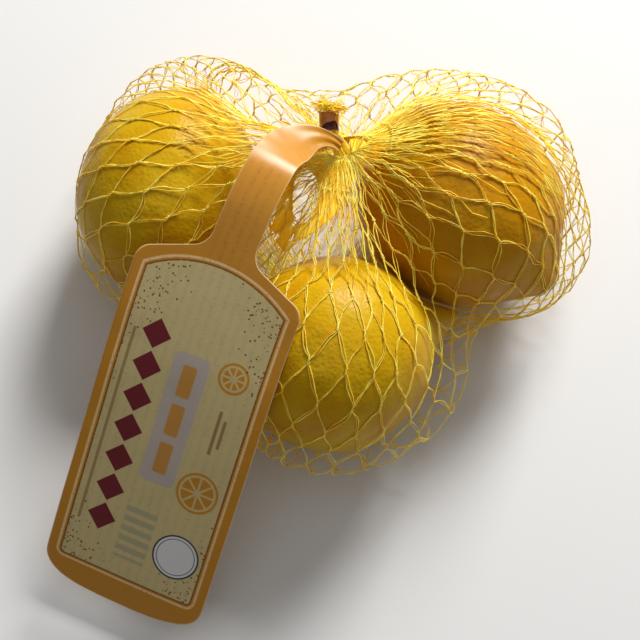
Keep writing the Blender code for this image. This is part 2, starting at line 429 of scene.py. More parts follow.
@dataclass(frozen=True)
class PrintShapes:
    """The plain shapes of a print, drawn in a node tree by the place on the print in millimetres."""

    tree: bpy.types.NodeTree
    place: bpy.types.Node

    def rounded_box(self, centre: Spot, half: Spot, corner: float) -> bpy.types.Node:
        """Adds the distance outside a rounded rectangle.

        Args:
            centre: The rectangle's middle.
            half: Its half sizes.
            corner: The radius of its corners.

        Returns:
            The distance, none on the edge.
        """
        node = self.place
        for how, other in (
            ("SUBTRACT", (*centre, 0.0)),
            ("ABSOLUTE", (0.0, 0.0, 0.0)),
            ("SUBTRACT", (half[0] - corner, half[1] - corner, 0.0)),
            ("MAXIMUM", (0.0, 0.0, 0.0)),
            ("LENGTH", (0.0, 0.0, 0.0)),
        ):
            node = add_node(self.tree, "ShaderNodeVectorMath", {0: node, 1: other}, operation=how)
        return add_node(self.tree, "ShaderNodeMath", {0: node, 1: corner}, operation="SUBTRACT")

    def disc(self, centre: Spot, radius: float) -> bpy.types.Node:
        """Adds the distance outside a disc.

        Args:
            centre: The disc's middle.
            radius: Its radius.

        Returns:
            The distance, negative inside.
        """
        ends = {0: self.place, 1: (*centre, 0.0)}
        reach = add_node(self.tree, "ShaderNodeVectorMath", ends, operation="DISTANCE")
        return add_node(self.tree, "ShaderNodeMath", {0: reach, 1: radius}, operation="SUBTRACT")

    def ring(self, distance: bpy.types.Node, outer: float, inner: float) -> bpy.types.Node:
        """Adds the cover of a line between two distances from a shape's edge.

        Args:
            distance: The distance outside the shape.
            outer: Where the line ends.
            inner: Where it starts.

        Returns:
            The cover.
        """
        covers = [
            add_node(self.tree, "ShaderNodeMapRange", cover_range(distance, edge)) for edge in (outer, inner)
        ]
        return add_node(self.tree, "ShaderNodeMath", dict(enumerate(covers)), operation="SUBTRACT")

    def stripes(self, axis: str, pitch: float, limits: Spot, covers: Spot) -> bpy.types.Node:
        """Adds the cover of soft even stripes.

        Args:
            axis: X or Y, the axis that they are counted along.
            pitch: The distance from one to the next.
            limits: The heights of their wave where the cover starts and ends its change.
            covers: The cover at each.

        Returns:
            The cover.
        """
        along = add_node(self.tree, "ShaderNodeSeparateXYZ", {0: self.place}).outputs[axis]
        turns = add_node(self.tree, "ShaderNodeMath", {0: along, 1: math.tau / pitch}, operation="MULTIPLY")
        wave = add_node(self.tree, "ShaderNodeMath", {0: turns}, operation="SINE")
        change = {"From Min": limits[0], "From Max": limits[1], "To Min": covers[0], "To Max": covers[1]}
        return add_node(self.tree, "ShaderNodeMapRange", {"Value": wave, **change})

    def lozenges(self, across: float, run: Spot, pitch: float, half: Spot) -> bpy.types.Node:
        """Adds the cover of a row of lozenges up the print.

        Args:
            across: Where the row stands.
            run: The middles of the first and the last lozenge.
            pitch: The distance from one to the next.
            half: Their half sizes.

        Returns:
            The cover.
        """
        node = self.place
        for how, first, second in (
            ("SUBTRACT", (across, run[0], 0.0), (0.0, 0.0, 0.0)),
            ("WRAP", (500.0, pitch / 2.0, 1.0), (-500.0, -pitch / 2.0, -1.0)),
            ("ABSOLUTE", (0.0, 0.0, 0.0), (0.0, 0.0, 0.0)),
            ("DOT_PRODUCT", (1.0 / half[0], 1.0 / half[1], 0.0), (0.0, 0.0, 0.0)),
        ):
            node = add_node(self.tree, "ShaderNodeVectorMath", {0: node, 1: first, 2: second}, operation=how)
        size = (half[0] + 1.0, (run[1] - run[0] + pitch) / 2.0)
        strip = self.rounded_box((across, (run[0] + run[1]) / 2.0), size, 0.2)
        covers = [
            add_node(self.tree, "ShaderNodeMapRange", change)
            for change in (cover_range(node, 1.0, 0.03), cover_range(strip))
        ]
        return add_node(self.tree, "ShaderNodeMath", dict(enumerate(covers)), operation="MULTIPLY")

    def citrus_round(self, centre: Spot, radius: float) -> bpy.types.Node:
        """Adds the cover of a round of cut fruit: a rind and eight segments.

        Args:
            centre: Its middle.
            radius: Its radius.

        Returns:
            The cover.
        """
        reach = self.disc(centre, 0.0)
        ends = {0: self.place, 1: (*centre, 0.0)}
        away = add_node(self.tree, "ShaderNodeVectorMath", ends, operation="SUBTRACT")
        parts = add_node(self.tree, "ShaderNodeSeparateXYZ", {0: away}).outputs
        angle = add_node(self.tree, "ShaderNodeMath", {0: parts["Y"], 1: parts["X"]}, operation="ARCTAN2")
        wedge = add_node(self.tree, "ShaderNodeMath", {0: angle, 1: math.pi / 8.0}, operation="PINGPONG")
        skin = add_node(self.tree, "ShaderNodeMath", {0: wedge, 1: reach}, operation="MULTIPLY")
        skins = add_node(self.tree, "ShaderNodeMapRange", cover_range(skin, 0.32, 0.08))
        flesh = add_node(self.tree, "ShaderNodeMath", {0: 1.0, 1: skins}, operation="SUBTRACT")
        inside = add_node(self.tree, "ShaderNodeMapRange", cover_range(reach, radius - 1.5))
        flesh = add_node(self.tree, "ShaderNodeMath", {0: flesh, 1: inside}, operation="MULTIPLY")
        rind = self.ring(reach, radius, radius - 0.8)
        return add_node(self.tree, "ShaderNodeMath", {0: flesh, 1: rind}, operation="MAXIMUM")

    def speckles(self, middle: Spot, half: Spot) -> bpy.types.Node:
        """Adds the cover of small dots, as of worn ink, scattered near a field's corners.

        Args:
            middle: The field's middle.
            half: Its half sizes, past which every dot is kept.

        Returns:
            The cover.
        """
        cells = add_node(
            self.tree, "ShaderNodeTexVoronoi", {"Vector": self.place, "Scale": 1.0 / 1.1, "Randomness": 1.0}
        )
        dots = add_node(self.tree, "ShaderNodeMapRange", cover_range(cells, 0.28, 0.06))
        lot = add_node(self.tree, "ShaderNodeSeparateColor", {0: cells.outputs["Color"]})
        clusters = add_node(
            self.tree, "ShaderNodeTexNoise", {"Vector": self.place, "Scale": 0.16, "Detail": 1.0}
        )
        node = self.place
        for how, other in (
            ("SUBTRACT", (*middle, 0.0)),
            ("ABSOLUTE", (0.0, 0.0, 0.0)),
            ("DOT_PRODUCT", (1.0 / half[0], 1.0 / half[1], 0.0)),
        ):
            node = add_node(self.tree, "ShaderNodeVectorMath", {0: node, 1: other}, operation=how)
        near = add_node(
            self.tree,
            "ShaderNodeMapRange",
            {"Value": node, "From Min": 1.2, "From Max": 1.85, "To Min": -0.25, "To Max": 1.1},
        )
        thicker = add_node(self.tree, "ShaderNodeMath", {0: clusters, 1: 0.5}, operation="SUBTRACT")
        chance = add_node(self.tree, "ShaderNodeMath", {0: near, 1: thicker}, operation="ADD")
        kept = add_node(self.tree, "ShaderNodeMath", {0: lot, 1: chance}, operation="LESS_THAN")
        return add_node(self.tree, "ShaderNodeMath", {0: dots, 1: kept}, operation="MULTIPLY")

    def ghost(self, most: float) -> bpy.types.Node:
        """Adds the cover of the back's print, blurred by the film: broken lines that run up the label.

        Args:
            most: The cover where it shows best.

        Returns:
            The cover.
        """
        stretch = {"Vector": self.place, "Scale": (0.42, 0.62, 1.0)}
        drawn = add_node(self.tree, "ShaderNodeMapping", stretch)
        grain = add_node(self.tree, "ShaderNodeTexNoise", {"Vector": drawn, "Scale": 1.9, "Detail": 1.5})
        broken = {"Value": grain, "From Min": 0.42, "From Max": 0.6}
        lines = self.stripes("X", 3.1, (-0.3, 0.7), (0.0, most))
        marks = {0: lines, 1: add_node(self.tree, "ShaderNodeMapRange", broken)}
        return add_node(self.tree, "ShaderNodeMath", marks, operation="MULTIPLY")


@dataclass(frozen=True)
class LabelPrint:
    """Polypropylene film, reverse printed, so flat inks under a soft gloss; the back's print shows dimly."""

    orange: str = "#C4841A"
    cream: str = "#CDB980"
    brown: str = "#7A4A18"
    maroon: str = "#6E1620"
    lilac: str = "#B5A8A6"
    green_grey: str = "#94957F"
    white: str = "#DEDCDA"
    ring_ink: str = "#2A2726"
    edge_tint: str = "#E9C48C"
    # Pale line along the cut edge: bare film, lightened as a painted highlight where the edge catches light.
    bare_edge_and_highlight: str = "#F2DCB4"
    field_half: float = 21.6
    field_low: float = 10.0
    field_high: float = 105.6
    field_corner: float = 1.2
    arch: float = 7.0

    def field_distance(self, shapes: PrintShapes) -> bpy.types.Node:
        """Adds the distance outside the cream field, which is a rectangle with an arched top.

        Args:
            shapes: The print's shapes.

        Returns:
            The distance, none or less inside.
        """
        middle = (self.field_low + self.field_high) / 2.0
        half = (self.field_half, (self.field_high - self.field_low) / 2.0)
        radius = (self.field_half**2 + self.arch**2) / (2.0 * self.arch)
        box = shapes.rounded_box((0.0, middle), half, self.field_corner)
        column = shapes.rounded_box((0.0, middle + 12.0), half, self.field_corner)
        arch = shapes.disc((0.0, self.field_high + self.arch - radius), radius)
        crown = add_node(shapes.tree, "ShaderNodeMath", {0: arch, 1: column}, operation="MAXIMUM")
        return add_node(shapes.tree, "ShaderNodeMath", {0: box, 1: crown}, operation="MINIMUM")

    def field_layers(self, shapes: PrintShapes) -> list[tuple[str, bpy.types.Node]]:
        """Draws the inks on the cream field.

        Args:
            shapes: The print's shapes.

        Returns:
            Each ink and its cover, from the lowest to the highest.
        """
        tree = shapes.tree
        patch = cover_range(shapes.rounded_box((-0.6, 25.5), (5.0, 9.5), 0.5), 0.0, 0.4, 0.6)
        stripes = {
            0: add_node(tree, "ShaderNodeMapRange", patch),
            1: shapes.stripes("Y", 3.4, (-0.25, 0.55), (1.0, 0.0)),
        }
        layers = [
            (self.green_grey, shapes.ghost(0.24)),
            (self.green_grey, add_node(tree, "ShaderNodeMath", stripes, operation="MULTIPLY")),
        ]
        for centre, half, corner, ink, most in (
            ((0.4, 65.0), (5.6, 21.0), 2.2, self.lilac, 0.8),
            ((0.4, 52.5), (2.2, 5.0), 0.8, self.orange, 0.9),
            ((0.4, 65.0), (2.2, 5.0), 0.8, self.orange, 0.9),
            ((0.4, 77.5), (2.2, 5.0), 0.8, self.orange, 0.9),
            ((13.2, 66.0), (0.5, 7.0), 0.3, self.brown, 0.7),
            ((15.2, 66.0), (0.5, 4.5), 0.3, self.brown, 0.7),
            ((-19.2, 56.0), (0.5, 32.0), 0.3, self.brown, 0.6),
        ):
            change = cover_range(shapes.rounded_box(centre, half, corner), 0.0, 0.15, most)
            layers.append((ink, add_node(tree, "ShaderNodeMapRange", change)))
        layers.append((self.maroon, shapes.lozenges(-12.4, (27.0, 88.2), 10.2, (4.6, 4.7))))
        layers.append((self.orange, shapes.citrus_round((13.6, 46.0), 6.6)))
        layers.append((self.orange, shapes.citrus_round((13.6, 83.5), 4.8)))
        layers.append((self.brown, shapes.speckles((0.0, 57.0), (21.6, 45.0))))
        return layers

    def border_layers(self, shapes: PrintShapes, outline: bpy.types.Node) -> list[tuple[str, bpy.types.Node]]:
        """Draws the inks on the orange border and the strap.

        Args:
            shapes: The print's shapes.
            outline: The distance outside the cream field.

        Returns:
            Each ink and its cover, from the lowest to the highest.
        """
        tree = shapes.tree
        strap = cover_range(shapes.rounded_box((-0.6, 129.0), (4.6, 17.0), 1.0), 0.0, 1.5)
        shown = {0: shapes.ghost(0.3), 1: add_node(tree, "ShaderNodeMapRange", strap)}
        layers = [(self.brown, add_node(tree, "ShaderNodeMath", shown, operation="MULTIPLY"))]
        worn = add_node(tree, "ShaderNodeTexNoise", {"Vector": shapes.place, "Scale": 1.6, "Detail": 2.0})
        whole = add_node(tree, "ShaderNodeMapRange", {"Value": worn, "From Min": 0.33, "From Max": 0.4})
        for ink, outer, inner in ((self.edge_tint, 1.75, 1.0), (self.brown, 0.5, 0.0)):
            line = {0: shapes.ring(outline, outer, inner), 1: whole}
            layers.append((ink, add_node(tree, "ShaderNodeMath", line, operation="MULTIPLY")))
        return layers

    def material(self, width: float, length: float) -> bpy.types.Material:
        """Builds the printed film.

        Args:
            width: The panel's width, which the UV map's first axis spans, in millimetres.
            length: The label's length, which its second axis spans.

        Returns:
            The material.
        """
        material, tree, shader = new_material("printed_polypropylene_film")
        chart = add_node(tree, "ShaderNodeUVMap", uv_map="print")
        sized = {"Vector": chart, "Location": (-width / 2.0, 0.0, 0.0), "Scale": (width, length, 1.0)}
        place = add_node(tree, "ShaderNodeMapping", sized)
        shapes = PrintShapes(tree, place)
        outline = self.field_distance(shapes)
        badge = shapes.disc((13.2, 23.5), 7.4)
        margin = add_node(tree, "ShaderNodeAttribute", attribute_name="margin").outputs["Fac"]
        cream = layered(tree, linear(self.cream), self.field_layers(shapes))
        layers = [
            *self.border_layers(shapes, outline),
            (cream, add_node(tree, "ShaderNodeMapRange", cover_range(outline))),
            (self.white, add_node(tree, "ShaderNodeMapRange", cover_range(badge))),
            (self.ring_ink, shapes.ring(badge, 0.0, -0.55)),
            (self.ring_ink, shapes.ring(badge, -1.25, -1.5)),
            # Pale line along the cut edge: bare film, lightened as a painted highlight where the edge catches
            # light.
            (self.bare_edge_and_highlight, add_node(tree, "ShaderNodeMapRange", cover_range(margin, 0.2, 0.08, 0.5))),
        ]
        waves = add_node(tree, "ShaderNodeTexNoise", {"Vector": place, "Scale": 0.12, "Detail": 2.0})
        finish = {
            "Base Color": layered(tree, linear(self.orange), layers),
            "Normal": add_node(
                tree, "ShaderNodeBump", {"Strength": 0.3, "Distance": 0.3 * MM, "Height": waves}
            ),
            "Roughness": 0.36,
            "IOR": 1.49,
            "Specular IOR Level": 0.42,
            "Coat Weight": 0.1,
            "Coat Roughness": 0.2,
        }
        feed(tree, shader, finish)
        return material


@dataclass(frozen=True)
class PlainFilm:
    """Polypropylene film, cast and slit, where it is one ink right through: smooth with a clear gloss."""

    name: str
    colour: str
    shade: str
    roughness: float = 0.25
    shade_size: float = 2.5

    def material(self) -> bpy.types.Material:
        """Builds the film.

        Returns:
            The material.
        """
        material, tree, shader = new_material(self.name)
        place = add_node(tree, "ShaderNodeTexCoord").outputs["Object"]
        change = {"Vector": place, "Scale": 1.0 / (self.shade_size * MM), "Detail": 2.0}
        tone = add_node(
            tree,
            "ShaderNodeValToRGB",
            {"Fac": add_node(tree, "ShaderNodeTexNoise", change)},
            stops=((0.35, self.shade), (0.65, self.colour)),
        )
        feed(tree, shader, {"Base Color": tone, "Roughness": self.roughness, "IOR": 1.49})
        return material


@dataclass(frozen=True)
class PaleFloor:
    """Matt painted board, rolled on, so an even pale surface."""

    colour: str = "#E6E5E3"

    def material(self) -> bpy.types.Material:
        """Builds the floor's material.

        Returns:
            The material.
        """
        material, tree, shader = new_material("matt_painted_board")
        finish = {"Base Color": linear(self.colour), "Roughness": 0.9, "Specular IOR Level": 0.1}
        feed(tree, shader, finish)
        return material


@dataclass
class Lemon:
    """One lemon: a spun body with a nipple, a stem scar at the other end, and lumps and dimples over it."""

    name: str
    centre: Point
    half_length: float
    half_width: float
    azimuth: float
    dip: float
    nipple_length: float
    nipple_radius: float
    nipple_power: float
    fullness: float = 2.0
    stations: int = 170
    sides: int = 250
    shoulder: tuple[float, float, float] = (0.5, 1.9, 0.5)
    stem_length: float = 1.6
    stem_radius: float = 7.0
    stem_power: float = 2.2
    scar: tuple[Spot, ...] = ((1.4, 2.6), (-0.8, 1.7))
    lump_size: float = 21.0
    lump_height: float = 0.55
    bump_size: float = 4.2
    bump_height: float = 0.06
    dimple_size: float = 2.1
    dimple_height: float = 0.04
    tip_mark: tuple[float, float, float] = (0.7, 1.1, 2.2)
    stem_mark: tuple[float, float, float] = (0.95, 2.0, 2.6)
    ripeness: float = 0.0
    seed: float = 0.0

    def profile(self) -> list[tuple[float, float]]:
        """Works out the outline that is spun.

        Returns:
            Distances along the axis and from it, from the stem end to the nipple's tip.
        """
        outline = []
        power = 2.0 / self.fullness
        depth, place, spread = self.shoulder
        for index in range(self.stations + 1):
            angle = math.pi * index / self.stations
            along = -math.copysign(abs(math.cos(angle)) ** power, math.cos(angle)) * self.half_length
            across = max(math.sin(angle), 0.0) ** power * self.half_width
            if along > 0.0:
                ratio = across / self.nipple_radius
                along += self.nipple_length * math.exp(-(ratio**self.nipple_power))
                along -= depth * math.exp(-(((ratio - place) / spread) ** 2))
            else:
                ratio = across / self.stem_radius
                along -= self.stem_length * math.exp(-(ratio**self.stem_power))
                along += sum(height * math.exp(-((across / radius) ** 4)) for height, radius in self.scar)
            outline.append((along, across))
        return outline

    def placing(self) -> Matrix:
        """Gives the turn and shift that put the lemon in its place.

        Returns:
            The matrix, in millimetres.
        """
        heading = Matrix.Rotation(math.radians(self.azimuth), 4, "Z")
        nodding = Matrix.Rotation(math.radians(self.dip), 4, "Y")
        return Matrix.Translation(Vector(self.centre)) @ (heading @ nodding)

    def relief(self, point: Vector) -> float:
        """Gives the height of the peel at a point.

        Args:
            point: A place on the smooth body, in millimetres.

        Returns:
            How far the peel stands out there, in millimetres.
        """
        shifted = point + Vector((self.seed * 37.0, self.seed * 11.0, 0.0))
        broad = noise.fractal(shifted / self.lump_size, 1.0, 2.0, 3) * self.lump_height
        fine = noise.noise(shifted / self.bump_size) * self.bump_height
        dimple = noise.voronoi(shifted / self.dimple_size)[0][0] * self.dimple_height
        return broad + fine + dimple

    def end_mark(self, along: float, across: float, ends: Spot) -> float:
        """Gives how strongly the tip's and the stem scar's darker colour shows at a point.

        Args:
            along: Where the point is along the axis.
            across: Its distance from the axis.
            ends: Where the body ends at the stem and at the tip.

        Returns:
            The strength, from 0 to 1.
        """
        total = 0.0
        for (most, length, radius), end in ((self.stem_mark, ends[0]), (self.tip_mark, ends[1])):
            total += most * math.exp(-(((end - along) / length) ** 2) - (across / radius) ** 2)
        return min(total, 1.0)

    def build(self, material: bpy.types.Material) -> bpy.types.Object:
        """Builds and dresses the lemon.

        Args:
            material: The peel.

        Returns:
            The lemon's object.
        """
        work = bmesh.new()
        outline = self.profile()
        verts = [work.verts.new((along, 0.0, across)) for along, across in outline]
        edges = [work.edges.new(pair) for pair in zip(verts, verts[1:])]
        bmesh.ops.spin(
            work,
            geom=verts + edges,
            axis=(1.0, 0.0, 0.0),
            angle=math.tau,
            steps=self.sides,
            use_merge=True,
        )
        bmesh.ops.remove_doubles(work, verts=work.verts, dist=0.01)
        bmesh.ops.recalc_face_normals(work, faces=work.faces)
        ends = (min(vert.co.x for vert in work.verts), max(vert.co.x for vert in work.verts))
        mark = work.verts.layers.float.new("end_mark")
        ripe = work.verts.layers.float.new("ripeness")
        for vert in work.verts:
            vert[mark] = self.end_mark(vert.co.x, vert.co.yz.length, ends)
            vert[ripe] = self.ripeness
        bmesh.ops.transform(work, matrix=self.placing(), verts=work.verts)
        work.normal_update()
        shifts = [vert.normal * self.relief(vert.co) for vert in work.verts]
        for vert, shift in zip(work.verts, shifts):
            vert.co += shift
        bmesh.ops.scale(work, vec=(MM, MM, MM), verts=work.verts)
        return enlist(mesh_object(self.name, work), [material], Slot.NET, "net_bag")


class StrandSet:
    """Strands of flat tape that become one mesh, each strand with a thin lens for its section."""

    def __init__(self, name: str, width: float, thickness: float) -> None:
        """Starts an empty set.

        Args:
            name: The name of the piece.
            width: The tape's width in millimetres.
            thickness: Its thickness in the middle.
        """
        self.name = name
        section = bpy.data.curves.new(name + "_section", "CURVE")
        lens = ((1.0, 0.0), (0.0, 1.0), (-1.0, 0.0), (0.0, -1.0))
        outline = section.splines.new("POLY")
        outline.points.add(len(lens) - 1)
        for point, (across, up) in zip(outline.points, lens):
            point.co = (across * width / 2.0 * MM, up * thickness / 2.0 * MM, 0.0, 1.0)
        outline.use_cyclic_u = True
        self.section = bpy.data.objects.new(name + "_section", section)
        self.curve = bpy.data.curves.new(name + "_paths", "CURVE")
        self.curve.dimensions = "3D"
        self.curve.bevel_mode = "OBJECT"
        self.curve.bevel_object = self.section
        self.curve.use_fill_caps = True

    def add(self, points: np.ndarray, radii: Iterable[float], tilts: Iterable[float]) -> None:
        """Adds one strand.

        Args:
            points: Its points in millimetres.
            radii: How wide it is at each point, as a share of the set's width.
            tilts: How far it is turned about itself at each point, in radians.
        """
        spline = self.curve.splines.new("POLY")
        spline.points.add(len(points) - 1)
        flat = np.ones((len(points), 4))
        flat[:, :3] = np.asarray(points) * MM
        spline.points.foreach_set("co", flat.ravel())
        spline.points.foreach_set("radius", np.asarray(list(radii), dtype=float))
        spline.points.foreach_set("tilt", np.asarray(list(tilts), dtype=float))

    def add_loose(self, points: np.ndarray, dice: random.Random) -> None:
        """Adds one strand that turns and thins a little as it goes, as slit tape does.

        Args:
            points: Its points in millimetres.
            dice: The source of the small differences.
        """
        count = len(points)
        turn = dice.uniform(0.0, math.pi)
        tilts = []
        for _ in range(count):
            turn += dice.uniform(-0.5, 0.5)
            tilts.append(turn)
        self.add(points, [dice.uniform(0.8, 1.2) for _ in range(count)], tilts)

    def build(self, material: bpy.types.Material) -> bpy.types.Object:
        """Turns the strands into one piece.

        Args:
            material: The tape.

        Returns:
            The piece.
        """
        guide = bpy.data.objects.new(self.name + "_guide", self.curve)
        bpy.context.scene.collection.objects.link(guide)
        bpy.context.view_layer.update()
        evaluated = guide.evaluated_get(bpy.context.evaluated_depsgraph_get())
        drawn = bpy.data.meshes.new_from_object(evaluated)
        work = bmesh.new()
        work.from_mesh(drawn)
        bmesh.ops.remove_doubles(work, verts=work.verts, dist=0.0002 * MM)
        bmesh.ops.recalc_face_normals(work, faces=work.faces)
        bpy.data.objects.remove(guide, do_unlink=True)
        bpy.data.objects.remove(self.section, do_unlink=True)
        bpy.data.meshes.remove(drawn)
        return enlist(mesh_object(self.name, work), [material], Slot.NET, "net_bag")


class NetSkin:
    """The surface that the net lies on: the CAD's skin, held off the lemons and the floor."""

    above = 200.0
    search_reach = 12.0
    tail_rise = 1.2
    tail_reach = 24.0
    tail_middle = NECK[0] - 3.0
    tail_half = 8.0

    def __init__(self, node: bpy.types.Object, lemons: Sequence[bpy.types.Object], centre: Point) -> None:
        """Reads the surfaces.

        Args:
            node: The CAD node of the bag.
            lemons: The lemons' objects.
            centre: A point well inside the bag, in millimetres.
        """
        self.centre = Vector(centre)
        self.bag = self.tree_of(node, True)
        self.lemons = [self.tree_of(lemon, False) for lemon in lemons]

    def on_tail(self, place: Vector) -> bool:
        """Tells whether a place is on the bag's cut tail.

        Args:
            place: The place, in millimetres.

        Returns:
            Whether it is.
        """
        behind = place.z > NECK[2] + self.tail_rise and place.y > NECK[1]
        near = (place - Vector(NECK)).length < self.tail_reach
        return behind and near and abs(place.x - self.tail_middle) < self.tail_half

    def tree_of(self, obj: bpy.types.Object, cut: bool) -> BVHTree:
        """Reads a piece as a search tree in millimetres.

        Args:
            obj: The piece.
            cut: Whether the bag's cut tail is left out.

        Returns:
            The search tree.
        """
        work = bmesh.new()
        work.from_mesh(obj.data)
        bmesh.ops.remove_doubles(work, verts=work.verts, dist=0.01 * MM)
        bmesh.ops.scale(work, vec=(1.0 / MM, 1.0 / MM, 1.0 / MM), verts=work.verts)
        if cut:
            tail = [vert for vert in work.verts if self.on_tail(vert.co)]
            bmesh.ops.delete(work, geom=tail, context="VERTS")
        work.verts.index_update()
        rings = []
        for face in work.faces:
            ring = [vert.index for vert in face.verts]
            lowest = ring.index(min(ring))
            rings.append(ring[lowest:] + ring[:lowest])
        # A spin lists its faces in another order each time, and the sorted faces give one net every time.
        tree = BVHTree.FromPolygons([vert.co for vert in work.verts], sorted(rings))
        work.free()
        return tree

    def seen_from_centre(self, direction: Vector) -> Vector | None:
        """Gives the point of the skin in a direction from the bag's centre."""
        return self.bag.ray_cast(self.centre, direction)[0]

    def top_at(self, x: float, y: float) -> Vector:
        """Gives the skin's highest point at a place, or the point nearest to the neck where the skin is open.

        Args:
            x: The place across the pack, in millimetres.
            y: The place along it.

        Returns:
            The point.
        """
        hit, normal, _, _ = self.bag.ray_cast(Vector((x, y, self.above)), -UP)
        if hit is None or normal.z < 0.0:
            hit = self.bag.find_nearest(Vector((x, y, NECK[2])))[0]
        return hit

    def normal_at(self, point: Vector) -> Vector:
        """Gives the skin's outward direction near a point."""
        return self.bag.find_nearest(point)[1]

    def lift_off(self, point: Vector, gap: float) -> Vector:
        """Moves a point out of the lemons and off the floor.

        Args:
            point: A point of the net, in millimetres.
            gap: The least distance from any lemon.

        Returns:
            The moved point.
        """
        for _ in range(2):
            for tree in self.lemons:
                near, normal, _, _ = tree.find_nearest(point, self.search_reach)
                if near is not None and (point - near).dot(normal) < gap:
                    point = near + normal * gap
        point.z = max(point.z, FLOOR_GAP)
        return point

    def slack_at(self, point: Vector) -> float:
        """Gives how far a point is from the nearest lemon, up to the reach of the search."""
        gaps = [tree.find_nearest(point, self.search_reach)[3] for tree in self.lemons]
        return min([gap for gap in gaps if gap is not None], default=self.search_reach)

    def settle(self, point: Vector, gap: float) -> Vector:
        """Puts a point on the skin, off the lemons and the floor."""
        near = self.bag.find_nearest(point)[0]
        return self.lift_off(near, gap)


